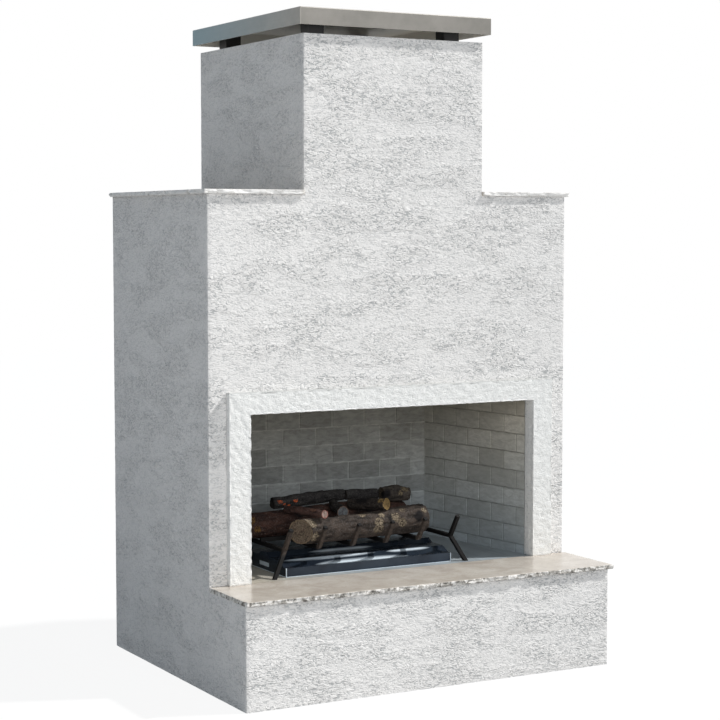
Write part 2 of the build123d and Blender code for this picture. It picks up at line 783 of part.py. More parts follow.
def lift_over(upper, lower):
    """How far an upper log has to rise, or sink if negative, till it just clears a lower one."""
    run, back, rise = (upper[-1][axis] - upper[0][axis] for axis in range(3))
    level = math.hypot(run, back)
    length = math.hypot(level, rise)
    side = (back / level, -run / level, 0)
    under = (run * rise / level / length, back * rise / level / length, -level / length)
    base = lower[0]
    along = [lower[-1][axis] - base[axis] for axis in range(3)]
    flat = math.hypot(along[0], along[1])
    lift = -body_height
    for step in range(seat_steps + 1):
        *middle, radius = section_at(upper, step / seat_steps)
        for turn in range(seat_steps):
            angle = 2 * math.pi * turn / seat_steps
            point = [middle[axis] + radius * (side[axis] * math.cos(angle)
                                              + under[axis] * math.sin(angle)) for axis in range(3)]
            share = sum((point[axis] - base[axis]) * along[axis] for axis in range(3)) / flat ** 2
            x, y, z, lower_radius = section_at(lower, share)
            aside = ((point[0] - x) * along[1] - (point[1] - y) * along[0]) / flat
            reach = lower_radius + log_clearance
            if 0 <= share <= 1 and abs(aside) < reach:
                lift = max(lift, z + math.sqrt(reach ** 2 - aside ** 2) - point[2])
    return lift


def crest_log(end_shares, back, radius, shares, lower):
    """A log that lies along a lower one, raised till it just clears it."""
    y = grate_front + back
    ends = []
    for end_share, share in zip(end_shares, (shares[0], shares[-1])):
        x = across(end_share)
        way = (x - lower[0][0]) / (lower[-1][0] - lower[0][0])
        _, lower_y, lower_z, lower_radius = section_at(lower, way)
        reach = lower_radius + radius * share + log_clearance
        ends.append((x, y, lower_z + math.sqrt(reach ** 2 - (y - lower_y) ** 2)))
    log = straight_log(*ends, radius, shares)
    lift = lift_over(log, lower)
    return [[x, y, z + lift, section_radius] for x, y, z, section_radius in log]


def branch(end_shares, front_back, rear_back, radius, shares, front_log, rear_log):
    """A branch let down till it lies across the front log with its rear end on the rear log."""
    start = [across(end_shares[0]), grate_front + front_back, log_bed]
    end = [across(end_shares[1]), grate_front + rear_back, log_bed]
    for _ in range(settling_rounds):
        end[2] += lift_over(straight_log(start, end, radius, shares), rear_log)
        start[2] += lift_over(straight_log(start, end, radius, shares), front_log)
    return straight_log(start, end, radius, shares)


def log_solid(log):
    """Straight-sided solid through a log's sections, each square to the line between its ends."""
    middles = [Vector(*section[:3]) for section in log]
    axis = middles[-1] - middles[0]
    return loft([Plane(origin=middle, z_dir=axis) * Circle(section[3])
                 for middle, section in zip(middles, log)], ruled=True)


def logs():
    """Eight logs: two on the grate's bars, and six that lie on those two."""
    front = bed_log(front_log_end_shares, front_log_left_back, front_log_right_back,
                    front_log_radius, front_log_shares)
    rear = bed_log(rear_log_end_shares, rear_log_back, rear_log_back,
                   rear_log_radius, rear_log_shares)
    laid = {
        "log_front": front,
        "log_rear": rear,
        "log_top_left": crest_log(top_left_end_shares, top_left_back,
                                  top_left_radius, top_left_shares, rear),
        "log_top_middle": crest_log(top_middle_end_shares, top_middle_back,
                                    top_middle_radius, top_middle_shares, rear),
        "log_top_right": crest_log(top_right_end_shares, top_right_back,
                                   top_right_radius, top_right_shares, rear),
        "branch_left": branch(left_branch_end_shares, left_branch_front_back,
                              left_branch_rear_back, left_branch_radius, left_branch_shares,
                              front, rear),
        "branch_middle": branch(middle_branch_end_shares, middle_branch_front_back,
                                middle_branch_rear_back, middle_branch_radius,
                                middle_branch_shares, front, rear),
        "branch_right": branch(right_branch_end_shares, right_branch_front_back,
                               right_branch_rear_back, right_branch_radius,
                               right_branch_shares, front, rear),
    }
    return {name: log_solid(log) for name, log in laid.items()}


# Every piece, each under its own name

pieces = {"stucco_coat": [stucco_coat()], "firebox_shell": [firebox_shell()],
          "hood_collar": [hood_collar()], "flue_pipe": [flue_pipe()],
          "chimney_top_plate": [chimney_top_plate()], "cap_pan": [cap_pan()],
          "cap_legs": cap_legs(),
          "burner_pan": [burner_pan()], "burner_tube": [burner_tube()],
          "gas_line": [gas_line()], "log_grate": [log_grate()]}
pieces.update(frames())
for group in (boards(), surround(), stones(), lining(), smoke_hood(), key_valve(), logs()):
    pieces.update({name: [shape] for name, shape in group.items()})
for name, shapes in pieces.items():
    save(name, shapes)
print(len(pieces), "pieces")
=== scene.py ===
"""Dresses the outdoor gas fireplace: stucco, stone, brick lining, metal and ceramic logs."""

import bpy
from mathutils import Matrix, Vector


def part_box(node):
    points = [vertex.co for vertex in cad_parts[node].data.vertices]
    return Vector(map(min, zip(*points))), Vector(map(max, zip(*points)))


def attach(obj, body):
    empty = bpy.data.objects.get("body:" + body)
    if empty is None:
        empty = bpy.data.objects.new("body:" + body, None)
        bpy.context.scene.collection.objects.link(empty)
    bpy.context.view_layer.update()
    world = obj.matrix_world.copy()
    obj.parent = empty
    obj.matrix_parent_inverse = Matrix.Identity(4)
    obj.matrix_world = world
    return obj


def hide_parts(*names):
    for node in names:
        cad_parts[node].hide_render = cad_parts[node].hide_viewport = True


bl_info = {
    "name": "Outdoor Fireplace Finishes",
    "version": (1, 0, 0),
    "blender": (4, 5, 0),
    "location": "3D View > Sidebar > Fireplace",
    "description": "Builds the stucco, stone edges, lining, metal and log set of an outdoor fireplace",
    "category": "Object",
}

import math
from functools import partial

import bmesh
import bpy
import numpy as np
from mathutils import Euler

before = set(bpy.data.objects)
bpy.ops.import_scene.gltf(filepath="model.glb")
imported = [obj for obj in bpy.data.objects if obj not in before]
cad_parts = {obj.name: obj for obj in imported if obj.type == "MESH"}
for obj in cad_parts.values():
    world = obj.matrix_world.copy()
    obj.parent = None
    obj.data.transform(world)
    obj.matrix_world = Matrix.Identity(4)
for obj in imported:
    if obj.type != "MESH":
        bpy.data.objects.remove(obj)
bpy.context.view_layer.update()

# Sizes of the walls, in millimetres, as in the solid model
MM = 0.001
BODY_FRONT = -243.25
BODY_BACK = 482.75
HEARTH_FRONT = -487.25
BODY_SIDE = 610.0
CHIMNEY_SIDE = 305.0
BODY_TOP = 1428.0
COPING_TOP = 1441.0
CHIMNEY_TOP = 1890.0
HEARTH_TOP = 296.0
SLAB_TOP = 309.0
OPENING_SIDE = 484.0
OPENING_TOP = 798.0
SURROUND_SIDE_BAND = 70.5
SURROUND_HEAD_BAND = 65.0
SURROUND_FACE = BODY_FRONT - 20.0
REVEAL_BACK = BODY_FRONT + 28.7
LINING_BACK = BODY_FRONT + 525.0
LINING_TAPER = 69.0
BRICK_COURSE = 58.0
BRICK_LENGTH = 119.0
JOINT_WIDTH = 6.0
FIRST_COURSE = 28.0
BACK_FIRST_JOINT = 65.0
SIDE_FIRST_JOINT = 40.0
GRATE_FRONT = BODY_FRONT + 38.0
GRATE_LEVEL = SLAB_TOP + 79.0
FINGER_TOP = GRATE_LEVEL + 67.0
PLATE_BACK = -67.0
PLATE_HALF_LENGTH = 32.0
PLATE_HEIGHT = 328.0
PLATE_HALF_RISE = 6.0
UNDERLAP = 8.0  # how far the coat runs under the surround
HOLE_SIDE = OPENING_SIDE + SURROUND_SIDE_BAND - UNDERLAP
HOLE_TOP = OPENING_TOP + SURROUND_HEAD_BAND - UNDERLAP
COAT_DEPTH = 8.0
SURROUND_ARRIS = 2.5
REVEAL_THICKNESS = 11.0
LEG_STEPS = 100
HEAD_STEPS = 180
SAME_PLACE = 0.01

# Heights where a wall's outline changes, and the top of its lowest band
LEVELS = [0, 80, HEARTH_TOP, SLAB_TOP, HOLE_TOP, BODY_TOP, COPING_TOP, CHIMNEY_TOP]

# How many times further the bark's pattern runs along a log than round it
GRAIN_STRETCH = 3.2
# Strength of the painted glow of the ember spots, which are no lamp
PAINTED_GLOW_STRENGTH = 0.12

# Studio: the floor in millimetres, lights and camera in metres and degrees. The sun travels from
# the right, above and a little in front.
FLOOR_HALF, FLOOR_LEVEL, FLOOR_LINES = 14000.0, -0.5, 15
SUN_TRAVEL = np.array([-0.64, 0.23, -0.735])
SUN_ANGLE = 2.5
SUN_COLOUR = (1.0, 0.985, 0.96)
FILL_SIZE = (4.0, 3.0)
FILL_COLOUR = (1.0, 0.985, 0.965)
FILL_PLACE, FILL_TILT, FILL_TURN = (-1.6, -5.5, 2.3), 77.0, -16.0
CAMERA_PLACE, CAMERA_TILT, CAMERA_TURN = (-2.7855, -5.0864, 1.3310), 85.98, -28.83
CAMERA_LENS = 93.9


# Colours and nodes

def linear(code):
    """Linear RGBA of an sRGB hex colour."""
    parts = [int(code[start:start + 2], 16) / 255 for start in (1, 3, 5)]
    return [c / 12.92 if c <= 0.04045 else ((c + 0.055) / 1.055) ** 2.4 for c in parts] + [1.0]


# What a setting means that is given without its name
MAIN_SETTING = {"Math": "operation", "VectorMath": "operation", "Mix": "data_type",
                "Mapping": "vector_type", "MapRange": "interpolation_type",
                "Attribute": "attribute_name", "ValToRGB": "stops"}


def add(tree, kind, settings=None, **inputs):
    """Adds a shader node and sets its properties, where stops fill a colour ramp. An input takes a
    value, a hex colour, a socket, or a node, whose first output in use is linked. _0 means the first
    input."""
    node = tree.nodes.new("ShaderNode" + kind)
    if isinstance(settings, (str, list)):
        settings = {MAIN_SETTING[kind]: settings}
    for name, value in (settings or {}).items():
        if name == "stops":
            elements = node.color_ramp.elements
            while len(elements) < len(value):
                elements.new(0.5)
            for element, (place, colour) in zip(elements, value):
                element.position = place
                coded = isinstance(colour, str)
                element.color = linear(colour) if coded else (colour, colour, colour, 1)
        else:
            setattr(node, name, value)
    for name, value in inputs.items():
        socket = node.inputs[int(name[1:]) if name[1:].isdigit() else name.replace("_", " ")]
        if isinstance(value, bpy.types.Node):
            value = next(output for output in value.outputs if output.enabled)
        if isinstance(value, bpy.types.NodeSocket):
            tree.links.new(value, socket)
        else:
            socket.default_value = linear(value) if isinstance(value, str) else value
    return node


def emptied(owner):
    """Clears the nodes of a material or world, and gives add() bound to its tree."""
    owner.use_nodes = True
    owner.node_tree.nodes.clear()
    return partial(add, owner.node_tree)


def new_material(name):
    """An empty material: itself, its add(), and Object coordinates in millimetres."""
    material = bpy.data.materials.new(name)
    node = emptied(material)
    place = node("Mapping", "TEXTURE", Vector=node("TexCoord").outputs["Object"], Scale=(MM, MM, MM))
    return material, node, place


def plain_view(node):
    """1 for rays that the camera sends straight, or through a mirror or glass, and 0 for the rest."""
    path = node("LightPath")
    seen = path.outputs["Is Camera Ray"]
    for kind in ("Is Glossy Ray", "Is Transmission Ray"):
        seen = node("Math", "MAXIMUM", _0=seen, _1=path.outputs[kind])
    return seen


# Relief worked out with numpy

def lattice_noise(points, cell, seed):
    """Smooth noise from 0 to 1: random values on a lattice of the given cell, blended between."""
    scaled = points / np.asarray(cell, float)
    base = np.floor(scaled).astype(np.int64)
    part = scaled - base
    part = part * part * (3 - 2 * part)
    total = np.zeros(points.shape[:-1])
    for corner in range(8):
        offset = np.array([corner & 1, corner >> 1 & 1, corner >> 2])
        key = ((base + offset) * np.array([73856093, 19349663, 83492791])).sum(-1) + seed * 2654435761
        key = (key ^ key >> 13) * 1274126177
        value = ((key ^ key >> 16) & 0xFFFF) / 0xFFFF
        weight = np.where(offset == 1, part, 1 - part).prod(-1)
        total += value * weight
    return total


def layered_noise(points, cell, layers, seed):
    """Sum of lattice noises, each with half the cell and half the weight of the one before."""
    total, weights = 0, 0
    for layer in range(layers):
        share = 0.5 ** layer
        total = total + lattice_noise(points, np.asarray(cell, float) * share, seed + layer) * share
        weights += share
    return total / weights


def smooth_step(value, low, high):
    """0 below low, 1 above high, and an S-curve between."""
    share = np.clip((value - low) / (high - low), 0, 1)
    return share * share * (3 - 2 * share)


# Meshes

def mesh_object(name, points_mm, faces, material, attributes=None, smooth=True):
    """A mesh object in the scene from points in millimetres, with named numbers on its points."""
    mesh = bpy.data.meshes.new(name)
    mesh.from_pydata((np.asarray(points_mm, float) * MM).reshape(-1, 3), [], np.asarray(faces).tolist())
    for key, values in (attributes or {}).items():
        layer = mesh.attributes.new(key, "FLOAT", "POINT")
        layer.data.foreach_set("value", np.asarray(values, np.float32).ravel())
    mesh.shade_smooth() if smooth else mesh.shade_flat()
    mesh.materials.append(material)
    obj = bpy.data.objects.new(name, mesh)
    bpy.context.scene.collection.objects.link(obj)
    return obj


def grid_faces(rows, columns, closed=None):
    """Corner numbers of the quads of a grid of rows and columns of points, closed along one axis."""
    number = np.arange(rows * columns).reshape(rows, columns)
    if closed is not None:
        number = np.concatenate([number, number.take([0], closed)], closed)
    corners = [number[:-1, :-1], number[:-1, 1:], number[1:, 1:], number[1:, :-1]]
    return np.stack(corners, -1).reshape(-1, 4)


def seal(obj, poles=False):
    """Closes a piece and turns its faces outwards. Poles are closed by joining points that coincide,
    and other open borders with a face."""
    shape = bmesh.new()
    shape.from_mesh(obj.data)
    if poles:
        bmesh.ops.remove_doubles(shape, verts=shape.verts, dist=SAME_PLACE * MM)
        bmesh.ops.dissolve_degenerate(shape, edges=shape.edges, dist=SAME_PLACE * MM)
    else:
        bmesh.ops.holes_fill(shape, edges=[edge for edge in shape.edges if edge.is_boundary], sides=0)
    bmesh.ops.recalc_face_normals(shape, faces=shape.faces)
    shape.to_mesh(obj.data)
    shape.free()


def close_back(obj, inward_mm):
    """Turns the open border inward by a vector and closes the skin with one flat back face."""
    shape = bmesh.new()
    shape.from_mesh(obj.data)
    shape.edges.ensure_lookup_table()
    loose = [v for v in shape.verts if not v.link_faces]
    bmesh.ops.delete(shape, geom=loose, context="VERTS")
    border = [edge for edge in shape.edges if edge.is_boundary]
    for edge in border:
        edge.smooth = False
    made = bmesh.ops.extrude_edge_only(shape, edges=border)["geom"]
    corners = [part for part in made if isinstance(part, bmesh.types.BMVert)]
    bmesh.ops.translate(shape, verts=corners, vec=[v * MM for v in inward_mm])
    rim = [part for part in made if isinstance(part, bmesh.types.BMEdge) and part.is_boundary]
    bmesh.ops.holes_fill(shape, edges=rim, sides=0)
    for edge in rim:
        edge.smooth = False
    shape.to_mesh(obj.data)
    shape.free()


def dress(node, material):
    """Gives a CAD node its material."""
    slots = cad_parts[node].data.materials
    slots.clear()
    slots.append(material)


def settle(obj, body, slot, *replaced):
    """Rides a piece on its body and hides the solids that it stands for. The slot is not used."""
    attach(obj, body)
    if replaced:
        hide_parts(*replaced)
    return obj


# Materials

def skip_trowel_stucco(name, crevice_shade_share, settings):
    """Acrylic white stucco, laid on and skip-trowelled: matte, with small level ridges in bands, and
    painted shade in its crevices. The share scales that painted shade: the walls in shade take less of
    it."""
    material, node, place = new_material(name)
    level = node("Mapping", "TEXTURE", Vector=place, Scale=(2.1, 2.1, 1))
    wide = node("Mapping", "TEXTURE", Vector=place, Scale=(2.6, 2.6, 1))
    wisps = node("TexNoise", Vector=level, Scale=1 / 7, Detail=2.0, Roughness=0.55, Distortion=1.4)
    bands = node("TexNoise", Vector=wide, Scale=1 / 62, Detail=3.0, Roughness=0.6, Distortion=0.4)
    rough = node("MapRange", "SMOOTHSTEP", Value=bands, From_Min=0.4, From_Max=0.6, To_Min=0.5,
                 To_Max=1.0)
    # Painted shade: a crevice mask from the same noise as the bump, darker where the relief is low
    crevice = node("MapRange", "SMOOTHSTEP", Value=wisps, From_Min=0.49, From_Max=0.38, To_Min=0.0,
                   To_Max=1.0)
    crevice = node("Math", "MULTIPLY", _0=crevice, _1=rough)
    crevice = node("Math", "MULTIPLY", _0=crevice, _1=crevice_shade_share)
    relief = node("Math", "MULTIPLY", _0=wisps, _1=rough)
    grain = node("TexNoise", Vector=place, Scale=1 / 2.6, Detail=3.0, Roughness=0.6)
    mottled = node("TexNoise", Vector=place, Scale=1 / 130, Detail=4.0, Roughness=0.55)
    plain = node("Mix", "RGBA", _0=mottled, _6=settings.plain_colour[:] + (1.0,),
                 _7=settings.warm_colour[:] + (1.0,))
    # Painted shade: the colour darkens towards the crevice shade colour in the crevices, scaled by the
    # share
    colour = node("Mix", "RGBA", _0=crevice, _6=plain, _7=settings.crevice_shade_colour[:] + (1.0,))
    coarse = node("Bump", Height=relief, Strength=1.0, Distance=settings.crevice_depth * MM)
    fine = node("Bump", Height=grain, Strength=0.7, Distance=0.8 * MM, Normal=coarse)
    shader = node("BsdfPrincipled", Base_Color=colour, Roughness=0.92, Normal=fine)
    node("OutputMaterial", Surface=shader)
    return material


def sand_float_stucco():
    """White finish coat with coarse sand, floated: brighter and more even than the walls, with painted
    shade in its pits and dust on the ledge over the opening."""
    material, node, place = new_material("sand_float_white_stucco")
    level = node("Mapping", "TEXTURE", Vector=place, Scale=(1.5, 1.5, 1))
    pits = node("TexNoise", Vector=level, Scale=1 / 6, Detail=3.0, Roughness=0.6, Distortion=0.8)
    grain = node("TexNoise", Vector=place, Scale=1 / 3, Detail=2.0, Roughness=0.6)
    # Painted shade: the low pits of the noise that drives the bump are painted darker
    colour = node("ValToRGB", [(0.3, "#D2D4D3"), (0.42, "#F2F2F0"), (1.0, "#F8F8F6")], Fac=pits)
    ledge = node("Attribute", "ledge").outputs["Fac"]
    colour = node("Mix", "RGBA", _0=ledge, _6=colour, _7="#BFC0BE")
    coarse = node("Bump", Height=pits, Strength=1.0, Distance=2.6 * MM)
    fine = node("Bump", Height=grain, Strength=0.6, Distance=0.8 * MM, Normal=coarse)
    shader = node("BsdfPrincipled", Base_Color=colour, Roughness=0.9, Normal=fine)
    node("OutputMaterial", Surface=shader)
    return material


def honed_limestone(name, edge_stops_with_painted_shade):
    """Beige limestone, honed on top, with a pitched rock-face edge of pale broken crystal. The edge's
    stops run from painted shade in its pockets to its crystal."""
    material, node, place = new_material(name)
    long = node("Mapping", "TEXTURE", Vector=place, Scale=(2, 1, 1))
    cloud = node("TexNoise", Vector=place, Scale=1 / 90, Detail=5.0, Roughness=0.6, Distortion=0.8)
    veins = node("TexNoise", Vector=long, Scale=1 / 34, Detail=6.0, Roughness=0.65, Distortion=2.5)
    speck = node("TexNoise", Vector=place, Scale=1 / 2.5, Detail=2.0)
    honed = node("ValToRGB", [(0.3, "#BBB1A6"), (0.5, "#CCC3B8"), (0.7, "#D9D2C9")], Fac=cloud)
    vein = node("ValToRGB", [(0.46, 0.0), (0.5, 0.35), (0.54, 0.0)], Fac=veins)
    honed = node("Mix", "RGBA", _0=vein, _6=honed, _7="#A89A8A")
    crystal = node("TexNoise", Vector=place, Scale=1 / 16, Detail=4.0, Roughness=0.7, Distortion=0.5)
    # The edge's darkest stop is painted shade in its pockets
    broken = node("ValToRGB", edge_stops_with_painted_shade, Fac=crystal)
    edge = node("Attribute", "broken").outputs["Fac"]
    colour = node("Mix", "RGBA", _0=edge, _6=honed, _7=broken)
    gloss = node("MapRange", Value=edge, To_Min=0.24, To_Max=0.8)
    tilt = node("Bump", Height=speck, Strength=0.15, Distance=0.25 * MM)
    shader = node("BsdfPrincipled", Base_Color=colour, Roughness=gloss, Normal=tilt)
    node("OutputMaterial", Surface=shader)
    return material


def refractory(name, turn, origin, sooty, dull, clean, joint, jointed=True):
    """Moulded grey refractory: matte, with soot, and the joints of a brick pattern that is turned
    with its wall and starts at an origin in millimetres. Its grey is warmer above and cooler below,
    and on the plain floor cooler to the right."""
    material, node, place = new_material(name)
    along = node("Mapping", "TEXTURE", Vector=place, Location=origin, Rotation=(0, 0, turn))
    parts = node("SeparateXYZ", Vector=along)
    wall = node("CombineXYZ", X=parts.outputs["X"], Y=parts.outputs["Z"])
    soot = node("TexNoise", Vector=place, Scale=1 / 130, Detail=4.0, Roughness=0.6)
    grit = node("TexNoise", Vector=place, Scale=1 / 5, Detail=4.0, Roughness=0.6)
    drag = node("Mapping", "TEXTURE", Vector=wall, Scale=(3, 1, 1))
    streaks = node("TexNoise", Vector=drag, Scale=1 / 14, Detail=5.0, Roughness=0.7, Distortion=0.8)
    colour = node("ValToRGB", [(0.3, dull), (0.7, clean)], Fac=soot)
    if jointed:
        warp = node("TexNoise", Vector=place, Scale=1 / 35, Detail=3.0).outputs["Color"]
        wall = node("VectorMath", "MULTIPLY_ADD", _0=warp, _1=(6, 6, 0), _2=wall)
        wall = node("VectorMath", "SUBTRACT", _0=wall, _1=(3, 3, 0))
        bricks = node("TexBrick", {"offset": 0.5, "squash": 1.0}, Vector=wall, Color1=dull,
                      Color2=clean, Mortar=joint, Scale=1.0, Mortar_Size=JOINT_WIDTH / 2 - 0.5,
                      Mortar_Smooth=0.5, Bias=0.0, Brick_Width=BRICK_LENGTH, Row_Height=BRICK_COURSE)
        tone = node("Mix", "RGBA", _0=0.7, _6=colour, _7=bricks)
        worn = node("TexNoise", Vector=place, Scale=1 / 26, Detail=3.0, Roughness=0.6)
        kept = node("ValToRGB", [(0.4, 0.0), (0.6, 0.9)], Fac=worn)
        shown = node("Math", "MULTIPLY", _0=bricks.outputs["Fac"], _1=kept)
        colour = node("Mix", "RGBA", _0=shown, _6=tone, _7=joint)
    smear = node("ValToRGB", [(0.38, 0.45), (0.6, 0.0)], Fac=streaks)
    colour = node("Mix", "RGBA", _0=smear, _6=colour, _7=sooty)
    axis, warm, cool = ("Z", OPENING_TOP, SLAB_TOP) if jointed else ("X", -450.0, -100.0)
    cooler = node("MapRange", Value=node("SeparateXYZ", Vector=place).outputs[axis], From_Min=warm,
                  From_Max=cool)
    tint = node("Mix", "RGBA", _0=cooler, _6="#FFF7E8", _7="#DDEEFF")
    colour = node("Mix", {"data_type": "RGBA", "blend_type": "MULTIPLY"}, _0=1.0, _6=colour, _7=tint)
    dust = node("Math", "MULTIPLY", _0=grit, _1=0.3)
    colour = node("Mix", "RGBA", _0=dust, _6=colour, _7=sooty)
    tilt = node("Bump", Height=grit, Strength=0.6, Distance=1.2 * MM)
    shader = node("BsdfPrincipled", Base_Color=colour, Roughness=0.95, Normal=tilt)
    node("OutputMaterial", Surface=shader)
    return material


def rolled_sheet(name, clean, dull, roughness, mark_mm, metallic=1.0):
    """Rolled or turned metal: slow changes of tone, and fine marks along X that spread the gloss.
    The marks are drawn a few times coarser than real ones, so that they show. Zinc that has dulled
    is partly oxide, so it is less metallic."""
    material, node, place = new_material(name)
    long = node("Mapping", "TEXTURE", Vector=place, Scale=(60, 1, 1))
    cloud = node("TexNoise", Vector=place, Scale=1 / 60, Detail=4.0, Roughness=0.6)
    tone = node("ValToRGB", [(0.3, dull), (0.7, clean)], Fac=cloud)
    marks = node("TexNoise", Vector=long, Scale=1 / mark_mm, Detail=3.0, Roughness=0.6)
    spread = node("MapRange", Value=marks, To_Min=roughness * 0.8, To_Max=roughness * 1.25)
    tilt = node("Bump", Height=marks, Strength=0.3, Distance=0.03 * MM)
    shader = node("BsdfPrincipled", Base_Color=tone, Roughness=spread, Metallic=metallic, Normal=tilt)
    node("OutputMaterial", Surface=shader)
    return material


def cap_sheet():
    """Weathered galvanised sheet of the cap: satin grey rim, a painted sky-blue shade tint towards the
    back of its left side, and an underside painted pale as if lit by light bounced up from below."""
    material, node, place = new_material("weathered_galvanised_cap")
    low, high = (np.array(corner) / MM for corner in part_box("cap_pan"))
    parts = node("SeparateXYZ", Vector=place)
    long = node("Mapping", "TEXTURE", Vector=place, Scale=(60, 60, 1))
    cloud = node("TexNoise", Vector=place, Scale=1 / 60, Detail=4.0, Roughness=0.6)
    tone = node("ValToRGB", [(0.3, "#86847F"), (0.7, "#94918C")], Fac=cloud)
    # Painted shade: the shaded left side takes a sky-blue tint, stronger towards the back
    left = node("Math", "LESS_THAN", _0=parts.outputs["X"], _1=low[0] + 1.0)
    far = node("MapRange", Value=parts.outputs["Y"], From_Min=low[1], From_Max=high[1], To_Min=0.1,
               To_Max=0.9)
    painted_sky_tint = node("Math", "MULTIPLY", _0=left, _1=far)
    tone = node("Mix", "RGBA", _0=painted_sky_tint, _6=tone, _7="#6C8792")
    # Painted light: the underside inside the rim is painted pale and diffuse, as if lit by bounced
    # light
    under = node("Math", "LESS_THAN", _0=parts.outputs["Z"], _1=high[2] - 1.0)
    for axis, middle, half in zip("XY", (low + high) / 2, (high - low) / 2):
        inside = node("Math", "COMPARE", _0=parts.outputs[axis], _1=middle, _2=half - 1.0)
        under = node("Math", "MULTIPLY", _0=under, _1=inside)
    tone = node("Mix", "RGBA", _0=under, _6=tone, _7="#F3EFE6")
    marks = node("TexNoise", Vector=long, Scale=1 / 3, Detail=3.0, Roughness=0.6)
    spread = node("MapRange", Value=marks, To_Min=0.38, To_Max=0.56)
    bare = node("MapRange", Value=under, To_Min=0.75, To_Max=0.1)
    tilt = node("Bump", Height=marks, Strength=0.3, Distance=0.03 * MM)
    shader = node("BsdfPrincipled", Base_Color=tone, Roughness=spread, Metallic=bare, Normal=tilt)
    node("OutputMaterial", Surface=shader)
    return material


def folded_stainless(bends):
    """Stainless sheet, polished: blue-black, a painted dark reflection of the firebox, and clear, with
    painted highlights along its bends, a painted bright foot and front corners, and a bare plate on its
    left end. A bend is the line's start and end along X, its place behind the body's front and its half
    width."""
    material, node, place = new_material("polished_stainless_sheet")
    parts = node("SeparateXYZ", Vector=place)
    across, deep, high = (parts.outputs[axis] for axis in "XYZ")
    long = node("Mapping", "TEXTURE", Vector=place, Scale=(9, 1, 1))
    waver = node("TexNoise", Vector=long, Scale=1 / 9, Detail=3.0, Roughness=0.6)
    # Painted highlight: a bright line along the foot
    painted_highlight_and_plate = node("Math", "LESS_THAN", _0=high, _1=SLAB_TOP + 2.0)
    # Painted highlights along the bends, fading towards their ends
    for start, end, back, half_width in bends:
        share = node("MapRange", {"clamp": False}, Value=across, From_Min=start, From_Max=end,
                     To_Min=-1.0, To_Max=1.0)
        share = node("Math", "ABSOLUTE", _0=share)
        fade = node("Math", "POWER", _0=share, _1=4.0)
        fade = node("Math", {"operation": "SUBTRACT", "use_clamp": True}, _0=1.0, _1=fade)
        off = node("Math", "SUBTRACT", _0=deep, _1=BODY_FRONT + back)
        off = node("Math", "ABSOLUTE", _0=off)
        off = node("Math", "DIVIDE", _0=off, _1=half_width)
        line = node("Math", {"operation": "SUBTRACT", "use_clamp": True}, _0=fade, _1=off)
        line = node("Math", {"operation": "MULTIPLY", "use_clamp": True}, _0=line,
                    _1=node("Math", "ADD", _0=waver, _1=0.7))
        painted_highlight_and_plate = node("Math", "MAXIMUM", _0=painted_highlight_and_plate, _1=line)
    # Painted highlights on the two front corners
    low, high_corner = (np.array(corner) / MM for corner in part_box("burner_pan"))
    front = node("Math", "LESS_THAN", _0=deep, _1=low[1] + 3.0)
    for end in (low[0], high_corner[0]):
        corner = node("Math", "COMPARE", _0=across, _1=end, _2=2.5)
        corner = node("Math", "MULTIPLY", _0=corner, _1=front)
        painted_highlight_and_plate = node("Math", "MAXIMUM", _0=painted_highlight_and_plate, _1=corner)
    plate = node("Math", "LESS_THAN", _0=across, _1=low[0] + 1.0)
    for value, middle, half in ((deep, PLATE_BACK, PLATE_HALF_LENGTH),
                                (high, PLATE_HEIGHT, PLATE_HALF_RISE)):
        inside = node("Math", "COMPARE", _0=value, _1=middle, _2=half)
        plate = node("Math", "MULTIPLY", _0=plate, _1=inside)
    painted_highlight_and_plate = node("Math", "MAXIMUM", _0=painted_highlight_and_plate, _1=plate)
    cloud = node("TexNoise", Vector=place, Scale=1 / 80, Detail=3.0)
    # Painted reflection: the blue-black tone stands for the dark firebox mirrored in the sheet
    tone = node("ValToRGB", [(0.3, "#262E3A"), (0.7, "#37424F")], Fac=cloud)
    colour = node("Mix", "RGBA", _0=painted_highlight_and_plate, _6=tone, _7="#CDD8E1")
    spread = node("MapRange", Value=painted_highlight_and_plate, To_Min=0.2, To_Max=0.6)
    bare = node("MapRange", Value=painted_highlight_and_plate, To_Min=0.45, To_Max=0.15)
    tilt = node("Bump", Height=waver, Strength=0.4, Distance=0.05 * MM)
    shader = node("BsdfPrincipled", Base_Color=colour, Roughness=spread, Metallic=bare, Normal=tilt)
    node("OutputMaterial", Surface=shader)
    return material


def painted_steel(name, colour, worn, roughness):
    """Paint on steel: a coat with a little orange peel, rubbed paler in places."""
    material, node, place = new_material(name)
    rubs = node("TexNoise", Vector=place, Scale=1 / 25, Detail=5.0, Roughness=0.65)
    tone = node("ValToRGB", [(0.45, colour), (0.75, worn)], Fac=rubs)
    peel = node("TexNoise", Vector=place, Scale=1 / 1.6, Detail=2.0)
    tilt = node("Bump", Height=peel, Strength=0.5, Distance=0.08 * MM)
    shader = node("BsdfPrincipled", Base_Color=tone, Roughness=roughness, Normal=tilt)
    node("OutputMaterial", Surface=shader)
    return material


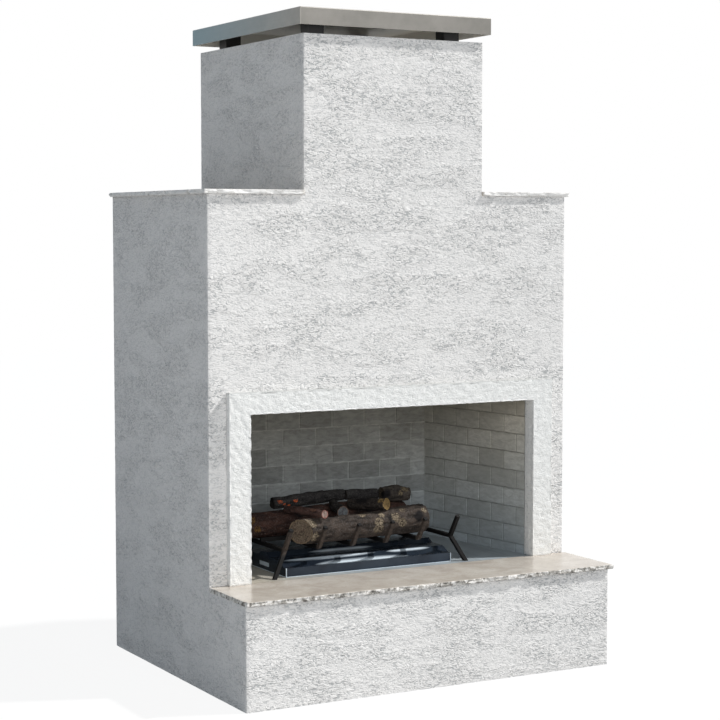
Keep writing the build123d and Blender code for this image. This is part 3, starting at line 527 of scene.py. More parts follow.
def grate_paint_with_painted_light():
    """Heat-proof black paint on the grate: satin, with painted light in brown on its front fingers."""
    material, node, place = new_material("heat_proof_black_paint_with_painted_light")
    parts = node("SeparateXYZ", Vector=place)
    deep, high = parts.outputs["Y"], parts.outputs["Z"]
    front = node("MapRange", "SMOOTHSTEP", Value=deep, From_Min=GRATE_FRONT + 12,
                 From_Max=GRATE_FRONT + 2, To_Min=0.0, To_Max=1.0)
    above = node("MapRange", "SMOOTHSTEP", Value=high, From_Min=GRATE_LEVEL - 20, From_Max=GRATE_LEVEL,
                 To_Min=0.0, To_Max=1.0)
    below = node("MapRange", "SMOOTHSTEP", Value=high, From_Min=FINGER_TOP - 4,
                 From_Max=FINGER_TOP - 10, To_Min=0.0, To_Max=1.0)
    logged = node("Math", "LESS_THAN", _0=parts.outputs["X"], _1=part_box("log_front")[1][0] / MM + 20)
    # Painted light: the front fingers before the front log, below their tips, are painted brown as if
    # lit
    dusty = front
    for share in (above, logged, below):
        dusty = node("Math", "MULTIPLY", _0=dusty, _1=share)
    cloud = node("TexNoise", Vector=place, Scale=1 / 9, Detail=4.0, Roughness=0.7)
    paint = node("ValToRGB", [(0.4, "#080809"), (0.75, "#141313")], Fac=cloud)
    # The brown of the painted light on the fingers
    dust = node("ValToRGB", [(0.35, "#2E2825"), (0.6, "#4C433D")], Fac=cloud)
    tone = node("Mix", "RGBA", _0=dusty, _6=paint, _7=dust)
    tilt = node("Bump", Height=cloud, Strength=0.4, Distance=0.3 * MM)
    shader = node("BsdfPrincipled", Base_Color=tone, Roughness=0.65, Specular_IOR_Level=0.2,
                  Normal=tilt)
    node("OutputMaterial", Surface=shader)
    return material


def cement_board():
    """Fibre-cement board: matte pressed grey with faint fibres."""
    material, node, place = new_material("fibre_cement_board")
    cloud = node("TexNoise", Vector=place, Scale=1 / 14, Detail=5.0, Roughness=0.6)
    tone = node("ValToRGB", [(0.3, "#8F8E89"), (0.7, "#A5A49E")], Fac=cloud)
    fibres = node("TexNoise", Vector=place, Scale=1 / 1.5, Detail=3.0)
    tilt = node("Bump", Height=fibres, Strength=0.4, Distance=0.2 * MM)
    shader = node("BsdfPrincipled", Base_Color=tone, Roughness=0.9, Normal=tilt)
    node("OutputMaterial", Surface=shader)
    return material


def ceramic_bark(name, bark, dark, bare, knob, cut, rim, ember=None):
    """Cast ceramic painted as wood: matte, furrowed bark with painted shade in the furrows, stripped
    knobs with pale flecks, cut ends with rings and a rim, charred places, and ember spots with a
    painted glow."""
    material, node, place = new_material(name)
    painted = {key: node("Attribute", key).outputs["Fac"]
               for key in ("furrow", "bare", "char", "ember", "ring", "cut")}
    blotch = node("TexNoise", Vector=place, Scale=1 / 26, Detail=5.0, Roughness=0.65, Distortion=0.6)
    blotch = node("ValToRGB", [(0.42, 0.0), (0.68, 0.8)], Fac=blotch)
    fine = node("TexNoise", Vector=place, Scale=1 / 4, Detail=4.0, Roughness=0.7)
    dusty = node("ValToRGB", [(0.5, 0.0), (0.75, 0.35)], Fac=fine)
    # Painted shade: the bark darkens towards its dark colour in the furrows
    depth = node("Math", "MULTIPLY", _0=painted["furrow"], _1=0.7)
    skin = node("Mix", "RGBA", _0=depth, _6=bark, _7=dark)
    skin = node("Mix", "RGBA", _0=blotch, _6=skin, _7=dark)
    skin = node("Mix", "RGBA", _0=dusty, _6=skin, _7="#8A8683")
    fleck = node("TexNoise", Vector=place, Scale=1 / 18, Detail=4.0, Roughness=0.7, Distortion=2.0)
    fleck = node("ValToRGB", [(0.44, 0.0), (0.5, 1.0), (0.56, 0.0)], Fac=fleck)
    wood = node("Mix", "RGBA", _0=fleck, _6=knob, _7=bare)
    skin = node("Mix", "RGBA", _0=painted["bare"], _6=skin, _7=wood)
    ring = node("Math", "MULTIPLY", _0=painted["ring"], _1=30.0)
    ring = node("Math", "SINE", _0=ring)
    ring = node("MapRange", Value=ring, From_Min=-1.0, To_Max=0.35)
    face = node("Mix", "RGBA", _0=ring, _6=cut, _7=dark)
    ragged = node("TexNoise", Vector=place, Scale=1 / 9, Detail=5.0, Roughness=0.75, Distortion=1.0)
    ragged = node("ValToRGB", [(0.4, 0.0), (0.62, 0.75)], Fac=ragged)
    face = node("Mix", "RGBA", _0=ragged, _6=face, _7=dark)
    crumbs = node("Math", "MULTIPLY", _0=fleck, _1=0.4)
    face = node("Mix", "RGBA", _0=crumbs, _6=face, _7=bare)
    border = node("ValToRGB", [(0.84, 0.0), (0.97, 0.8)], Fac=painted["ring"])
    face = node("Mix", "RGBA", _0=border, _6=face, _7=rim)
    skin = node("Mix", "RGBA", _0=painted["cut"], _6=skin, _7=face)
    skin = node("Mix", "RGBA", _0=painted["char"], _6=skin, _7="#181617")
    tilt = node("Bump", Height=fine, Strength=0.7, Distance=0.8 * MM)
    glow = {}
    # Painted light: the ember spots glow by emission
    if ember:
        live = node("Math", "MULTIPLY", _0=painted["ember"], _1=fleck)
        skin = node("Mix", "RGBA", _0=live, _6=skin, _7=ember)
        strength = node("Math", "MULTIPLY", _0=live, _1=PAINTED_GLOW_STRENGTH)
        glow = {"Emission_Color": ember, "Emission_Strength": strength}
    shader = node("BsdfPrincipled", Base_Color=skin, Roughness=0.85, Specular_IOR_Level=0.15,
                  Normal=tilt, **glow)
    node("OutputMaterial", Surface=shader)
    return material


# Settings that a user would change

class StuccoSettings(bpy.types.PropertyGroup):
    """Sizes in millimetres and colours of the stucco coats."""

    pitch: bpy.props.FloatProperty(
        name="Grid pitch", description="Spacing of the relief's points, in millimetres",
        default=6.0, min=2.0)
    relief: bpy.props.FloatProperty(
        name="Relief", description="Depth of the trowel marks, in millimetres", default=0.6, min=0.0)
    crevice_depth: bpy.props.FloatProperty(
        name="Crevice depth", description="Depth of the fine crevices, in millimetres",
        default=7.0, min=0.0)
    corner: bpy.props.FloatProperty(
        name="Corner", description="Radius of the corners, in millimetres", default=4.0, min=0.5)
    plain_colour: bpy.props.FloatVectorProperty(
        name="Plain", description="Colour of the smooth patches",
        subtype="COLOR", size=3, default=linear("#F7F5F3")[:3])
    warm_colour: bpy.props.FloatVectorProperty(
        name="Mottle", description="Colour of the duller patches",
        subtype="COLOR", size=3, default=linear("#EEECEA")[:3])
    # Painted shade: the colour that the crevices darken to
    crevice_shade_colour: bpy.props.FloatVectorProperty(
        name="Crevice", description="Colour inside the crevices",
        subtype="COLOR", size=3, default=linear("#BFC0C0")[:3])


class StoneSettings(bpy.types.PropertyGroup):
    """How far the stone edges are broken back."""

    chip: bpy.props.FloatProperty(
        name="Chip depth", description="Deepest chip in a broken edge, in millimetres",
        default=5.0, min=0.0)
    pitch: bpy.props.FloatProperty(
        name="Edge pitch", description="Spacing of the edge's points, in millimetres",
        default=3.5, min=1.0)


class LogSettings(bpy.types.PropertyGroup):
    """How finely the logs are made, and how deep their bark is."""

    around: bpy.props.IntProperty(
        name="Points around", description="Points round each log", default=96, min=24)
    along_pitch: bpy.props.FloatProperty(
        name="Pitch along", description="Spacing of rings along a log, in millimetres",
        default=2.0, min=0.5)
    bark: bpy.props.FloatProperty(
        name="Bark depth", description="Depth of the bark's furrows, in millimetres",
        default=3.2, min=0.0)


class StageSettings(bpy.types.PropertyGroup):
    """Light of the studio."""

    sun: bpy.props.FloatProperty(
        name="Key light", description="Strength of the high side light", default=3.3, min=0.0)
    fill: bpy.props.FloatProperty(
        name="Front light", description="Power of the large light in front",
        default=118.0, min=0.0, unit="POWER")
    sky: bpy.props.FloatProperty(
        name="Surroundings", description="Strength of the even light all round", default=0.3, min=0.0)


# Stucco

def trowel_relief(points, settings):
    """Depth in mm: broad level trowel marks, with patches that were pressed flat."""
    sway = layered_noise(points, (90, 90, 60), 2, 11)[..., None] * np.array([0, 0, 26.0])
    marks = layered_noise(points + sway, (34, 34, 11), 3, 21)
    patches = smooth_step(layered_noise(points, (160, 160, 48), 3, 31), 0.4, 0.6)
    depth = smooth_step(marks, 0.62, 0.36)
    return settings.relief * (0.15 + depth * (0.25 + 0.6 * patches))


def ticks(breaks, pitch):
    """Places from the first break to the last that hit every break, about a pitch apart."""
    runs = [np.linspace(low, high, max(2, int(round((high - low) / pitch)) + 1))
            for low, high in zip(breaks[:-1], breaks[1:])]
    return np.unique(np.concatenate(runs).round(6))


def wall_skin(name, across, plane, breaks, ends, keep, settings, material):
    """One flat side of the stucco coat. A point is the plane's place plus u times the across
    direction plus z upwards. Near an upright corner the skin follows an eighth of a circle, so two
    neighbouring skins meet on its middle line, and it then sinks along its normal by the relief."""
    across = np.array(across, float)
    outward = np.cross(across, (0, 0, 1))
    u, z = np.meshgrid(ticks(breaks, settings.pitch), ticks(LEVELS, settings.pitch))
    left, right = ends(z)
    r = settings.corner
    near_left = u - left < right - u
    distance = np.clip(np.where(near_left, u - left, right - u), 0, r)
    angle = (1 - distance / r) * math.pi / 4
    bent = np.where(near_left, left, right) + np.where(near_left, 1, -1) * r * (1 - np.sin(angle))
    u_bent = np.where(angle > 0, bent, u)
    lean = np.where(near_left, -1, 1) * np.sin(angle)
    normal = outward * np.cos(angle)[..., None] + across * lean[..., None]
    points = (outward * (plane - r * (1 - np.cos(angle)))[..., None] + across * u_bent[..., None]
              + np.array([0, 0, 1.0]) * z[..., None])
    points = points - normal * trowel_relief(points, settings)[..., None]
    faces = grid_faces(*u.shape)
    middle_u, middle_z = u.ravel()[faces].mean(1), z.ravel()[faces].mean(1)
    obj = mesh_object(name, points.reshape(-1, 3), faces[keep(middle_u, middle_z)], material)
    close_back(obj, -outward * COAT_DEPTH)
    return settle(obj, "walls", "stucco", "stucco_coat")


def upright(low, high):
    """Ends of a wall that are the same at every height."""
    return lambda z: (np.full_like(z, low), np.full_like(z, high))


class FIREPLACE_OT_stucco(bpy.types.Operator):
    """Lay the trowelled stucco on body, chimney and hearth"""

    bl_idname = "fireplace.stucco"
    bl_label = "Stucco coat"

    def execute(self, context):
        settings = context.scene.fireplace_stucco
        # The side walls stand in shade, so their copy of the stucco takes a fainter painted crevice
        # shade
        material = skip_trowel_stucco("skip_trowel_white_stucco", 1.0, settings)
        closed = skip_trowel_stucco("skip_trowel_white_stucco_fainter_painted_shade", 0.62, settings)

        def shoulders(z):
            side = np.where(z > BODY_TOP, CHIMNEY_SIDE, BODY_SIDE)
            return -side, side

        def front_kept(u, z):
            body = (z > SLAB_TOP) & ((abs(u) > HOLE_SIDE) | (z > HOLE_TOP)) & (z < BODY_TOP)
            return body | ((z > BODY_TOP) & (abs(u) < CHIMNEY_SIDE))

        def back_kept(u, z):
            return (z < BODY_TOP) | (abs(u) < CHIMNEY_SIDE)

        steps = [-BODY_SIDE, -HOLE_SIDE, -CHIMNEY_SIDE, CHIMNEY_SIDE, HOLE_SIDE, BODY_SIDE]
        wall_skin("stucco_front", (1, 0, 0), -BODY_FRONT, steps, shoulders, front_kept, settings,
                  material)
        wall_skin("stucco_back", (-1, 0, 0), BODY_BACK, steps, shoulders, back_kept, settings,
                  material)
        wall_skin("stucco_hearth_front", (1, 0, 0), -HEARTH_FRONT, [-BODY_SIDE, BODY_SIDE],
                  upright(-BODY_SIDE, BODY_SIDE), lambda u, z: z < HEARTH_TOP, settings, material)
        for name, sign in (("left", -1), ("right", 1)):
            front, back = sorted((sign * BODY_FRONT, sign * BODY_BACK))
            toe = sign * HEARTH_FRONT

            def side_ends(z, toe=toe, front=front, back=back):
                low = np.where(z > HEARTH_TOP, front, toe) if toe < 0 else np.full_like(z, front)
                high = np.where(z > HEARTH_TOP, back, toe) if toe > 0 else np.full_like(z, back)
                return low, high

            def side_kept(u, z, front=front, back=back):
                return (z < HEARTH_TOP) | ((z < BODY_TOP) & (u > front) & (u < back))

            wall_skin(f"stucco_{name}", (0, sign, 0), BODY_SIDE, sorted((toe, front, back)),
                      side_ends, side_kept, settings, closed)
            wall_skin(f"stucco_chimney_{name}", (0, sign, 0), CHIMNEY_SIDE, [front, back],
                      upright(front, back), lambda u, z: z > COPING_TOP, settings, closed)
        return {"FINISHED"}


class FIREPLACE_OT_surround(bpy.types.Operator):
    """Build the raised sand-float band round the opening"""

    bl_idname = "fireplace.surround"
    bl_label = "Surround"

    def execute(self, context):
        arris, band = SURROUND_ARRIS, SURROUND_SIDE_BAND
        # Section from the reveal's back edge round the face to the wall: share of the band, depth
        turn = np.linspace(0, math.pi / 2, 4)
        face = np.linspace(arris, band - arris, 15)[1:-1]
        reveal = np.linspace(REVEAL_BACK, SURROUND_FACE + arris, 10)[:-1]
        bedded = BODY_FRONT + 1.0
        outer = np.linspace(SURROUND_FACE + arris, bedded, 5)[1:]
        shares = np.concatenate([0 * reveal, arris - arris * np.cos(turn), face,
                                 band - arris + arris * np.sin(turn), np.full(len(outer), band),
                                 [REVEAL_THICKNESS, REVEAL_THICKNESS]]) / band
        depths = np.concatenate([reveal, SURROUND_FACE + arris - arris * np.sin(turn),
                                 np.full(len(face), SURROUND_FACE),
                                 SURROUND_FACE + arris - arris * np.cos(turn),
                                 outer, [bedded, REVEAL_BACK]])
        legs = np.linspace(0, 1, LEG_STEPS)
        head = np.linspace(0, 1, HEAD_STEPS)
        share, way = np.meshgrid(shares, legs)
        side = OPENING_SIDE + share * SURROUND_SIDE_BAND
        mitre = OPENING_TOP + share * SURROUND_HEAD_BAND
        rise = SLAB_TOP + way * (mitre - SLAB_TOP)
        left = np.stack([-side, np.broadcast_to(depths, side.shape), rise], -1)
        share, way = np.meshgrid(shares, head[1:-1])
        side = OPENING_SIDE + share * SURROUND_SIDE_BAND
        top = np.stack([side * (2 * way - 1), np.broadcast_to(depths, side.shape),
                        OPENING_TOP + share * SURROUND_HEAD_BAND], -1)
        right = left[::-1] * np.array([-1, 1, 1])
        points = np.concatenate([left, top, right])
        pits = smooth_step(layered_noise(points, (11, 11, 9), 3, 51), 0.62, 0.35)
        sink = 0.15 + 1.5 * pits
        inward = np.zeros_like(points)
        front = np.isclose(depths, SURROUND_FACE)
        inward[:, front, 1] = 1
        inward[:, ~front, 1] = np.where(depths[~front] < SURROUND_FACE + arris, 0.7, 0.0)
        flank = np.where(shares > 0.5, -1.0, 1.0) * ~front
        leg = abs(points[..., 0]) >= OPENING_SIDE - SAME_PLACE
        inward[..., 0] = np.where(leg, np.sign(points[..., 0]) * flank, 0)
        inward[..., 2] = np.where(leg, 0, flank)
        inward[:, depths > bedded - 0.5] = 0
        length = np.linalg.norm(inward, axis=-1, keepdims=True)
        points = points + inward / np.maximum(length, 1) * sink[..., None]
        faces = grid_faces(*points.shape[:2], closed=1)
        on_top = points[..., 2] > OPENING_TOP + SURROUND_HEAD_BAND - 2
        ledge = (shares > 0.95) & on_top & (depths > SURROUND_FACE)
        obj = mesh_object("surround", points.reshape(-1, 3), faces, sand_float_stucco(),
                          {"ledge": ledge})
        seal(obj)
        settle(obj, "walls", "fine_stucco", "surround_left", "surround_right", "surround_head")
        return {"FINISHED"}


# Stone

def stone_slab(name, node, broken_sides, settings, material, seed):
    """A slab with broken edges. Points run round the outline and, at each place, from the flat top
    over the arris and down the edge. Broken edges sink by layered noise cut into flat chips."""
    (x0, y0, z0), (x1, y1, z1) = (np.array(corner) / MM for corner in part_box(node))
    corners = [(x0, y0), (x1, y0), (x1, y1), (x0, y1)]
    path, normals, broken = [], [], []
    for number, side in enumerate(("front", "right", "back", "left")):
        start, end = np.array(corners[number]), np.array(corners[(number + 1) % 4])
        run = end - start
        length = np.linalg.norm(run)
        steps = np.linspace(0, 1, max(3, int(length / settings.pitch)))[:-1]
        path.append(start + run * steps[:, None])
        normals.append(np.tile([run[1] / length, -run[0] / length], (len(steps), 1)))
        broken.append(np.full(len(steps), float(side in broken_sides)))
    path, normals, broken = np.concatenate(path), np.concatenate(normals), np.concatenate(broken)
    broken = np.convolve(np.tile(broken, 3), np.ones(5) / 5, "same")[len(broken):2 * len(broken)]
    thick = z1 - z0
    inset = np.array([26.0, 14.0, 7.0, 2.5, 0.4, 0.0, 0.0, 0.0, 0.0, 0.3, 1.2, 8.0])
    drop = np.array([0, 0, 0, 0, 0.04, 0.16, 0.34, 0.52, 0.7, 0.86, 1.0, 1.0]) * thick
    tools = np.array([0, 0, 0.12, 0.5, 0.9, 1, 1, 1, 1, 1, 0.9, 0.4])
    base = np.stack([np.repeat(path[:, :1], len(inset), 1), np.repeat(path[:, 1:], len(inset), 1),
                     np.broadcast_to(z1 - drop, (len(path), len(inset)))], -1)
    chips = layered_noise(base * np.array([1, 1, 1.6]), (26, 26, 9), 3, seed)
    chips = np.round(chips * 7) / 7 * 0.6 + chips * 0.4
    bite = smooth_step(chips, 0.3, 0.75) * settings.chip * tools * broken[:, None]
    back = (inset + bite)[..., None]
    centre = np.array([(x0 + x1) / 2, (y0 + y1) / 2])
    half = np.array([(x1 - x0) / 2, (y1 - y0) / 2])
    shrink = (half - back) / half
    points = base.copy()
    points[..., :2] = centre + (base[..., :2] - centre) * shrink
    points[..., 2] += np.where(np.arange(len(inset)) == 3, -bite * 0.12, 0)
    points[..., 2] -= np.where(np.arange(len(inset)) == 4, bite * 0.25, 0)
    faces = grid_faces(*points.shape[:2], closed=0)
    rough = smooth_step(tools, 0.3, 0.8) * broken[:, None]
    obj = mesh_object(name, points.reshape(-1, 3), faces, material, {"broken": rough})
    seal(obj)
    return settle(obj, "walls", "beige_stone", node)


class FIREPLACE_OT_stone(bpy.types.Operator):
    """Cut the hearth slab and both copings with broken edges"""

    bl_idname = "fireplace.stone"
    bl_label = "Stone slabs"

    def execute(self, context):
        settings = context.scene.fireplace_stone
        # The first stop of each edge ramp is painted shade in the pockets of the broken edge
        honed = honed_limestone("honed_beige_limestone",
                                [(0.37, "#5E5A55"), (0.46, "#ACA8A1"), (0.58, "#EDEAE6")])
        clean = honed_limestone("clean_cut_beige_limestone",
                                [(0.26, "#8A867F"), (0.34, "#D5D2CC"), (0.46, "#F4F2EF")])
        slabs = (("hearth_stone", "hearth_slab", ("front", "left", "right"), honed, 61),
                 ("coping_stone_left", "coping_left", ("front", "left", "back"), clean, 71),
                 ("coping_stone_right", "coping_right", ("front", "right", "back"), clean, 81))
        for name, node, broken_sides, material, seed in slabs:
            stone_slab(name, node, broken_sides, settings, material, seed)
        return {"FINISHED"}


class FIREPLACE_OT_lining(bpy.types.Operator):
    """Give the refractory lining its brick pattern"""

    bl_idname = "fireplace.lining"
    bl_label = "Brick lining"

    def execute(self, context):
        height = SLAB_TOP + FIRST_COURSE
        back_side = OPENING_SIDE - LINING_TAPER
        dress("lining_back", refractory("refractory_brick_back", 0.0,
                                        (-back_side + BACK_FIRST_JOINT, LINING_BACK, height),
                                        "#6E6D69", "#93928E", "#D5D4D0", "#DAD9D4"))
        splay = math.atan2(LINING_TAPER, LINING_BACK - REVEAL_BACK)
        for name, side in (("left", -1), ("right", 1)):
            turn = math.pi / 2 + side * splay
            origin = (side * OPENING_SIDE + SIDE_FIRST_JOINT * math.cos(turn),
                      REVEAL_BACK + SIDE_FIRST_JOINT * math.sin(turn), height)
            dress(f"lining_{name}", refractory(f"refractory_brick_{name}", turn, origin,
                                               "#98968F", "#B5B3AC", "#E6E4DE", "#9A9892"))
        dress("lining_floor", refractory("refractory_floor", 0.0, (0, 0, 0), "#85837E", "#A3A19C",
                                         "#B8B6B1", "#A3A19C", jointed=False))
        return {"FINISHED"}


class FIREPLACE_OT_metal(bpy.types.Operator):
    """Finish the cap, flue, burner pan, grate, valve and pipes"""

    bl_idname = "fireplace.metal"
    bl_label = "Metal parts"

    def execute(self, context):
        # Galvanised sheet, dulled by weather: soft grey reflections with faint rolling marks
        sheet = rolled_sheet("weathered_galvanised_sheet", "#A5A29D", "#95938F", 0.45, 3.0, 0.75)
        plate = rolled_sheet("dulled_zinc_sheet", "#CFCECA", "#BDBCB8", 0.6, 3.0, 0.2)
        # Polished stainless sheet: a dark tone as painted reflection, with painted highlight streaks
        # along the bends
        polished = folded_stainless([(-251, 80, 46, 15), (-345, -19, 76, 11), (9, 170, 75, 10),
                                     (-222, 13, 148, 8)])
        # Bare stud steel, spangled and bright, all hidden inside the walls
        stud = rolled_sheet("galvanised_stud_steel", "#B8BBBD", "#A3A7A9", 0.5, 4.0)
        brass = rolled_sheet("turned_brass", "#C9A765", "#B2904F", 0.3, 1.0)
        chrome = rolled_sheet("bright_chrome_plate", "#DADADA", "#CFCFCF", 0.12, 1.0)
        black = painted_steel("satin_black_painted_steel", "#161617", "#232323", 0.5)
        finishes = {"firebox_shell": stud, "flue_pipe": sheet, "chimney_top_plate": plate,
                    "cap_pan": cap_sheet(), "cap_legs": black, "burner_pan": polished,
                    "burner_tube": polished, "gas_line": black, "gas_supply_stub": black,
                    "valve_body": brass, "valve_stem": brass, "valve_flange": chrome,
                    "log_grate": grate_paint_with_painted_light()}
        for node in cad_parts:
            if node.startswith(("frame_", "hood_")):
                finishes[node] = stud
        for node, material in finishes.items():
            dress(node, material)
        return {"FINISHED"}


class FIREPLACE_OT_boards(bpy.types.Operator):
    """Finish the cement boards behind the stucco"""

    bl_idname = "fireplace.boards"
    bl_label = "Cement boards"

    def execute(self, context):
        board = cement_board()
        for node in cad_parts:
            if node.startswith("board_"):
                dress(node, board)
        return {"FINISHED"}


# Logs

def log_sections(node):
    """Middles and radii of a solid log's round sections. The axis is the normal that covers the
    largest area, which is that of the two flat ends, and the points lie in rings square to it."""
    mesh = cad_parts[node].data
    points = np.empty(len(mesh.vertices) * 3)
    mesh.vertices.foreach_get("co", points)
    points = points.reshape(-1, 3) / MM
    normals = np.empty(len(mesh.polygons) * 3)
    mesh.polygons.foreach_get("normal", normals)
    areas = np.empty(len(mesh.polygons))
    mesh.polygons.foreach_get("area", areas)
    normals = normals.reshape(-1, 3)
    normals = normals * np.where(normals[:, :2].sum(1, keepdims=True) < 0, -1, 1)
    member = np.unique(normals.round(3), axis=0, return_inverse=True)[1].ravel()
    largest = np.argmax(np.bincount(member, areas))
    axis = normals[member == largest].mean(0)
    axis = axis / np.linalg.norm(axis)
    along = points @ axis
    order = np.argsort(along)
    rings = np.split(order, np.flatnonzero(np.diff(along[order]) > 0.05) + 1)
    fullest = max(len(ring) for ring in rings)
    side = np.cross(axis, (0, 0, 1))
    side = side / np.linalg.norm(side)
    up = np.cross(side, axis)
    middles, radii = [], []
    for ring in rings:
        if len(ring) < 0.4 * fullest:
            continue
        part = points[ring]
        across, rise = part @ side, part @ up
        radii.append((across.max() - across.min() + rise.max() - rise.min()) / 4)
        middles.append(axis * (part @ axis).mean() + side * (across.max() + across.min()) / 2
                       + up * (rise.max() + rise.min()) / 2)
    return np.array(middles), np.array(radii), axis, side, up


def bark_log(name, node, body, settings, material, seed, bare=(), char=(), ember=(), knots=(),
             slant=0.0, stretch=0.0):
    """A log over its solid. Rings of points run along the solid's own axis and radius, with pole
    rings over both cut ends. The radius sinks by furrows: layered noise drawn out along the axis,
    taken round the log so it has no seam. The first end is cut at a slant, which takes that length
    off its front and none off its rear, and a stretch is added at both ends. Marks are (share along,
    angle in degrees, radius in mm), and knots have a height after these."""
    middles, radii, axis, side, up = log_sections(node)
    stations = np.concatenate([[0], np.cumsum(np.linalg.norm(np.diff(middles, axis=0), axis=1))])
    length = stations[-1]
    rings = ticks([0, length], settings.along_pitch)
    caps = np.array([0.0, 0.2, 0.4, 0.6, 0.76, 0.88, 0.955])
    place = np.concatenate([np.zeros_like(caps), rings, np.full_like(caps, length)])
    shrink = np.concatenate([caps, np.ones_like(rings), caps[::-1]])
    on_cap = np.concatenate([np.ones_like(caps), np.zeros_like(rings), np.ones_like(caps)])
    radius = np.interp(place, stations, radii)
    centre = np.stack([np.interp(place, stations, middle) for middle in middles.T], -1)
    turn = np.linspace(0, 2 * math.pi, settings.around, endpoint=False)
    direction = np.cos(turn)[:, None] * side + np.sin(turn)[:, None] * up
    local = np.stack([np.broadcast_to(place[:, None] / GRAIN_STRETCH, (len(place), len(turn))),
                      radius[:, None] * np.cos(turn), radius[:, None] * np.sin(turn)], -1)
    even = local * np.array([GRAIN_STRETCH, 1, 1])
    sway = layered_noise(local, (22, 22, 22), 2, seed + 5)[..., None] * 9
    furrow = smooth_step(layered_noise(local + sway, (9, 9, 9), 3, seed), 0.56, 0.3)
    lumps = layered_noise(even, (48, 30, 30), 2, seed + 9)

    def reach(share, angle, size):
        swing = (turn - math.radians(angle) + math.pi) % (2 * math.pi) - math.pi
        return np.hypot((place[:, None] - share * length) / size, radius[:, None] * swing / size)

    def marked(marks, ragged=0.35, spread=0.25):
        total = np.zeros_like(furrow)
        jag = layered_noise(even, (11, 11, 11), 3, seed + 17) - 0.5
        for mark in marks:
            total = np.maximum(total, smooth_step(1 + jag * 2 * ragged - reach(*mark), 0, spread))
        return total

    stripped = marked(bare)
    burnt = marked(char, 0.5, 0.6)
    glow = marked(ember, 0.8, 0.3)
    bumps = np.zeros_like(furrow)
    for share, angle, size, height in knots:
        far = reach(share, angle, size)
        bumps += height * (np.exp(-far ** 2) - 0.55 * np.exp(-(far * 2.6) ** 2))
    sink = settings.bark * (furrow * (1 - 0.8 * stripped) + 0.5 * lumps) + 2.0 * stripped - bumps
    cut_rough = layered_noise(even + direction, (7, 7, 7), 3, seed + 23)
    span = (radius[:, None] - sink) * shrink[:, None]
    points = centre[:, None] + direction[None] * span[..., None]
    ends = np.where(place[:, None] < length / 2, 1.0, -1.0) * on_cap[:, None]
    rough_end = 0.4 + 2.0 * cut_rough * (1 - shrink[:, None] ** 4) - stretch
    points = points + axis * (ends * rough_end)[..., None]
    oblique = slant / 2 * (1 + shrink[:, None] * np.cos(turn)) * np.clip(1 - place / 90, 0, 1)[:, None]
    points = points + axis * oblique[..., None]
    faces = grid_faces(*points.shape[:2], closed=1)
    ring = np.broadcast_to(shrink[:, None], furrow.shape)
    cut = np.broadcast_to(on_cap[:, None], furrow.shape)
    obj = mesh_object(name, points.reshape(-1, 3), faces[:, ::-1], material,
                      {"furrow": furrow, "bare": stripped * (1 - cut), "char": burnt,
                       "ember": glow, "ring": ring, "cut": cut})
    seal(obj, poles=True)
    return settle(obj, body, "ceramic_log", node)


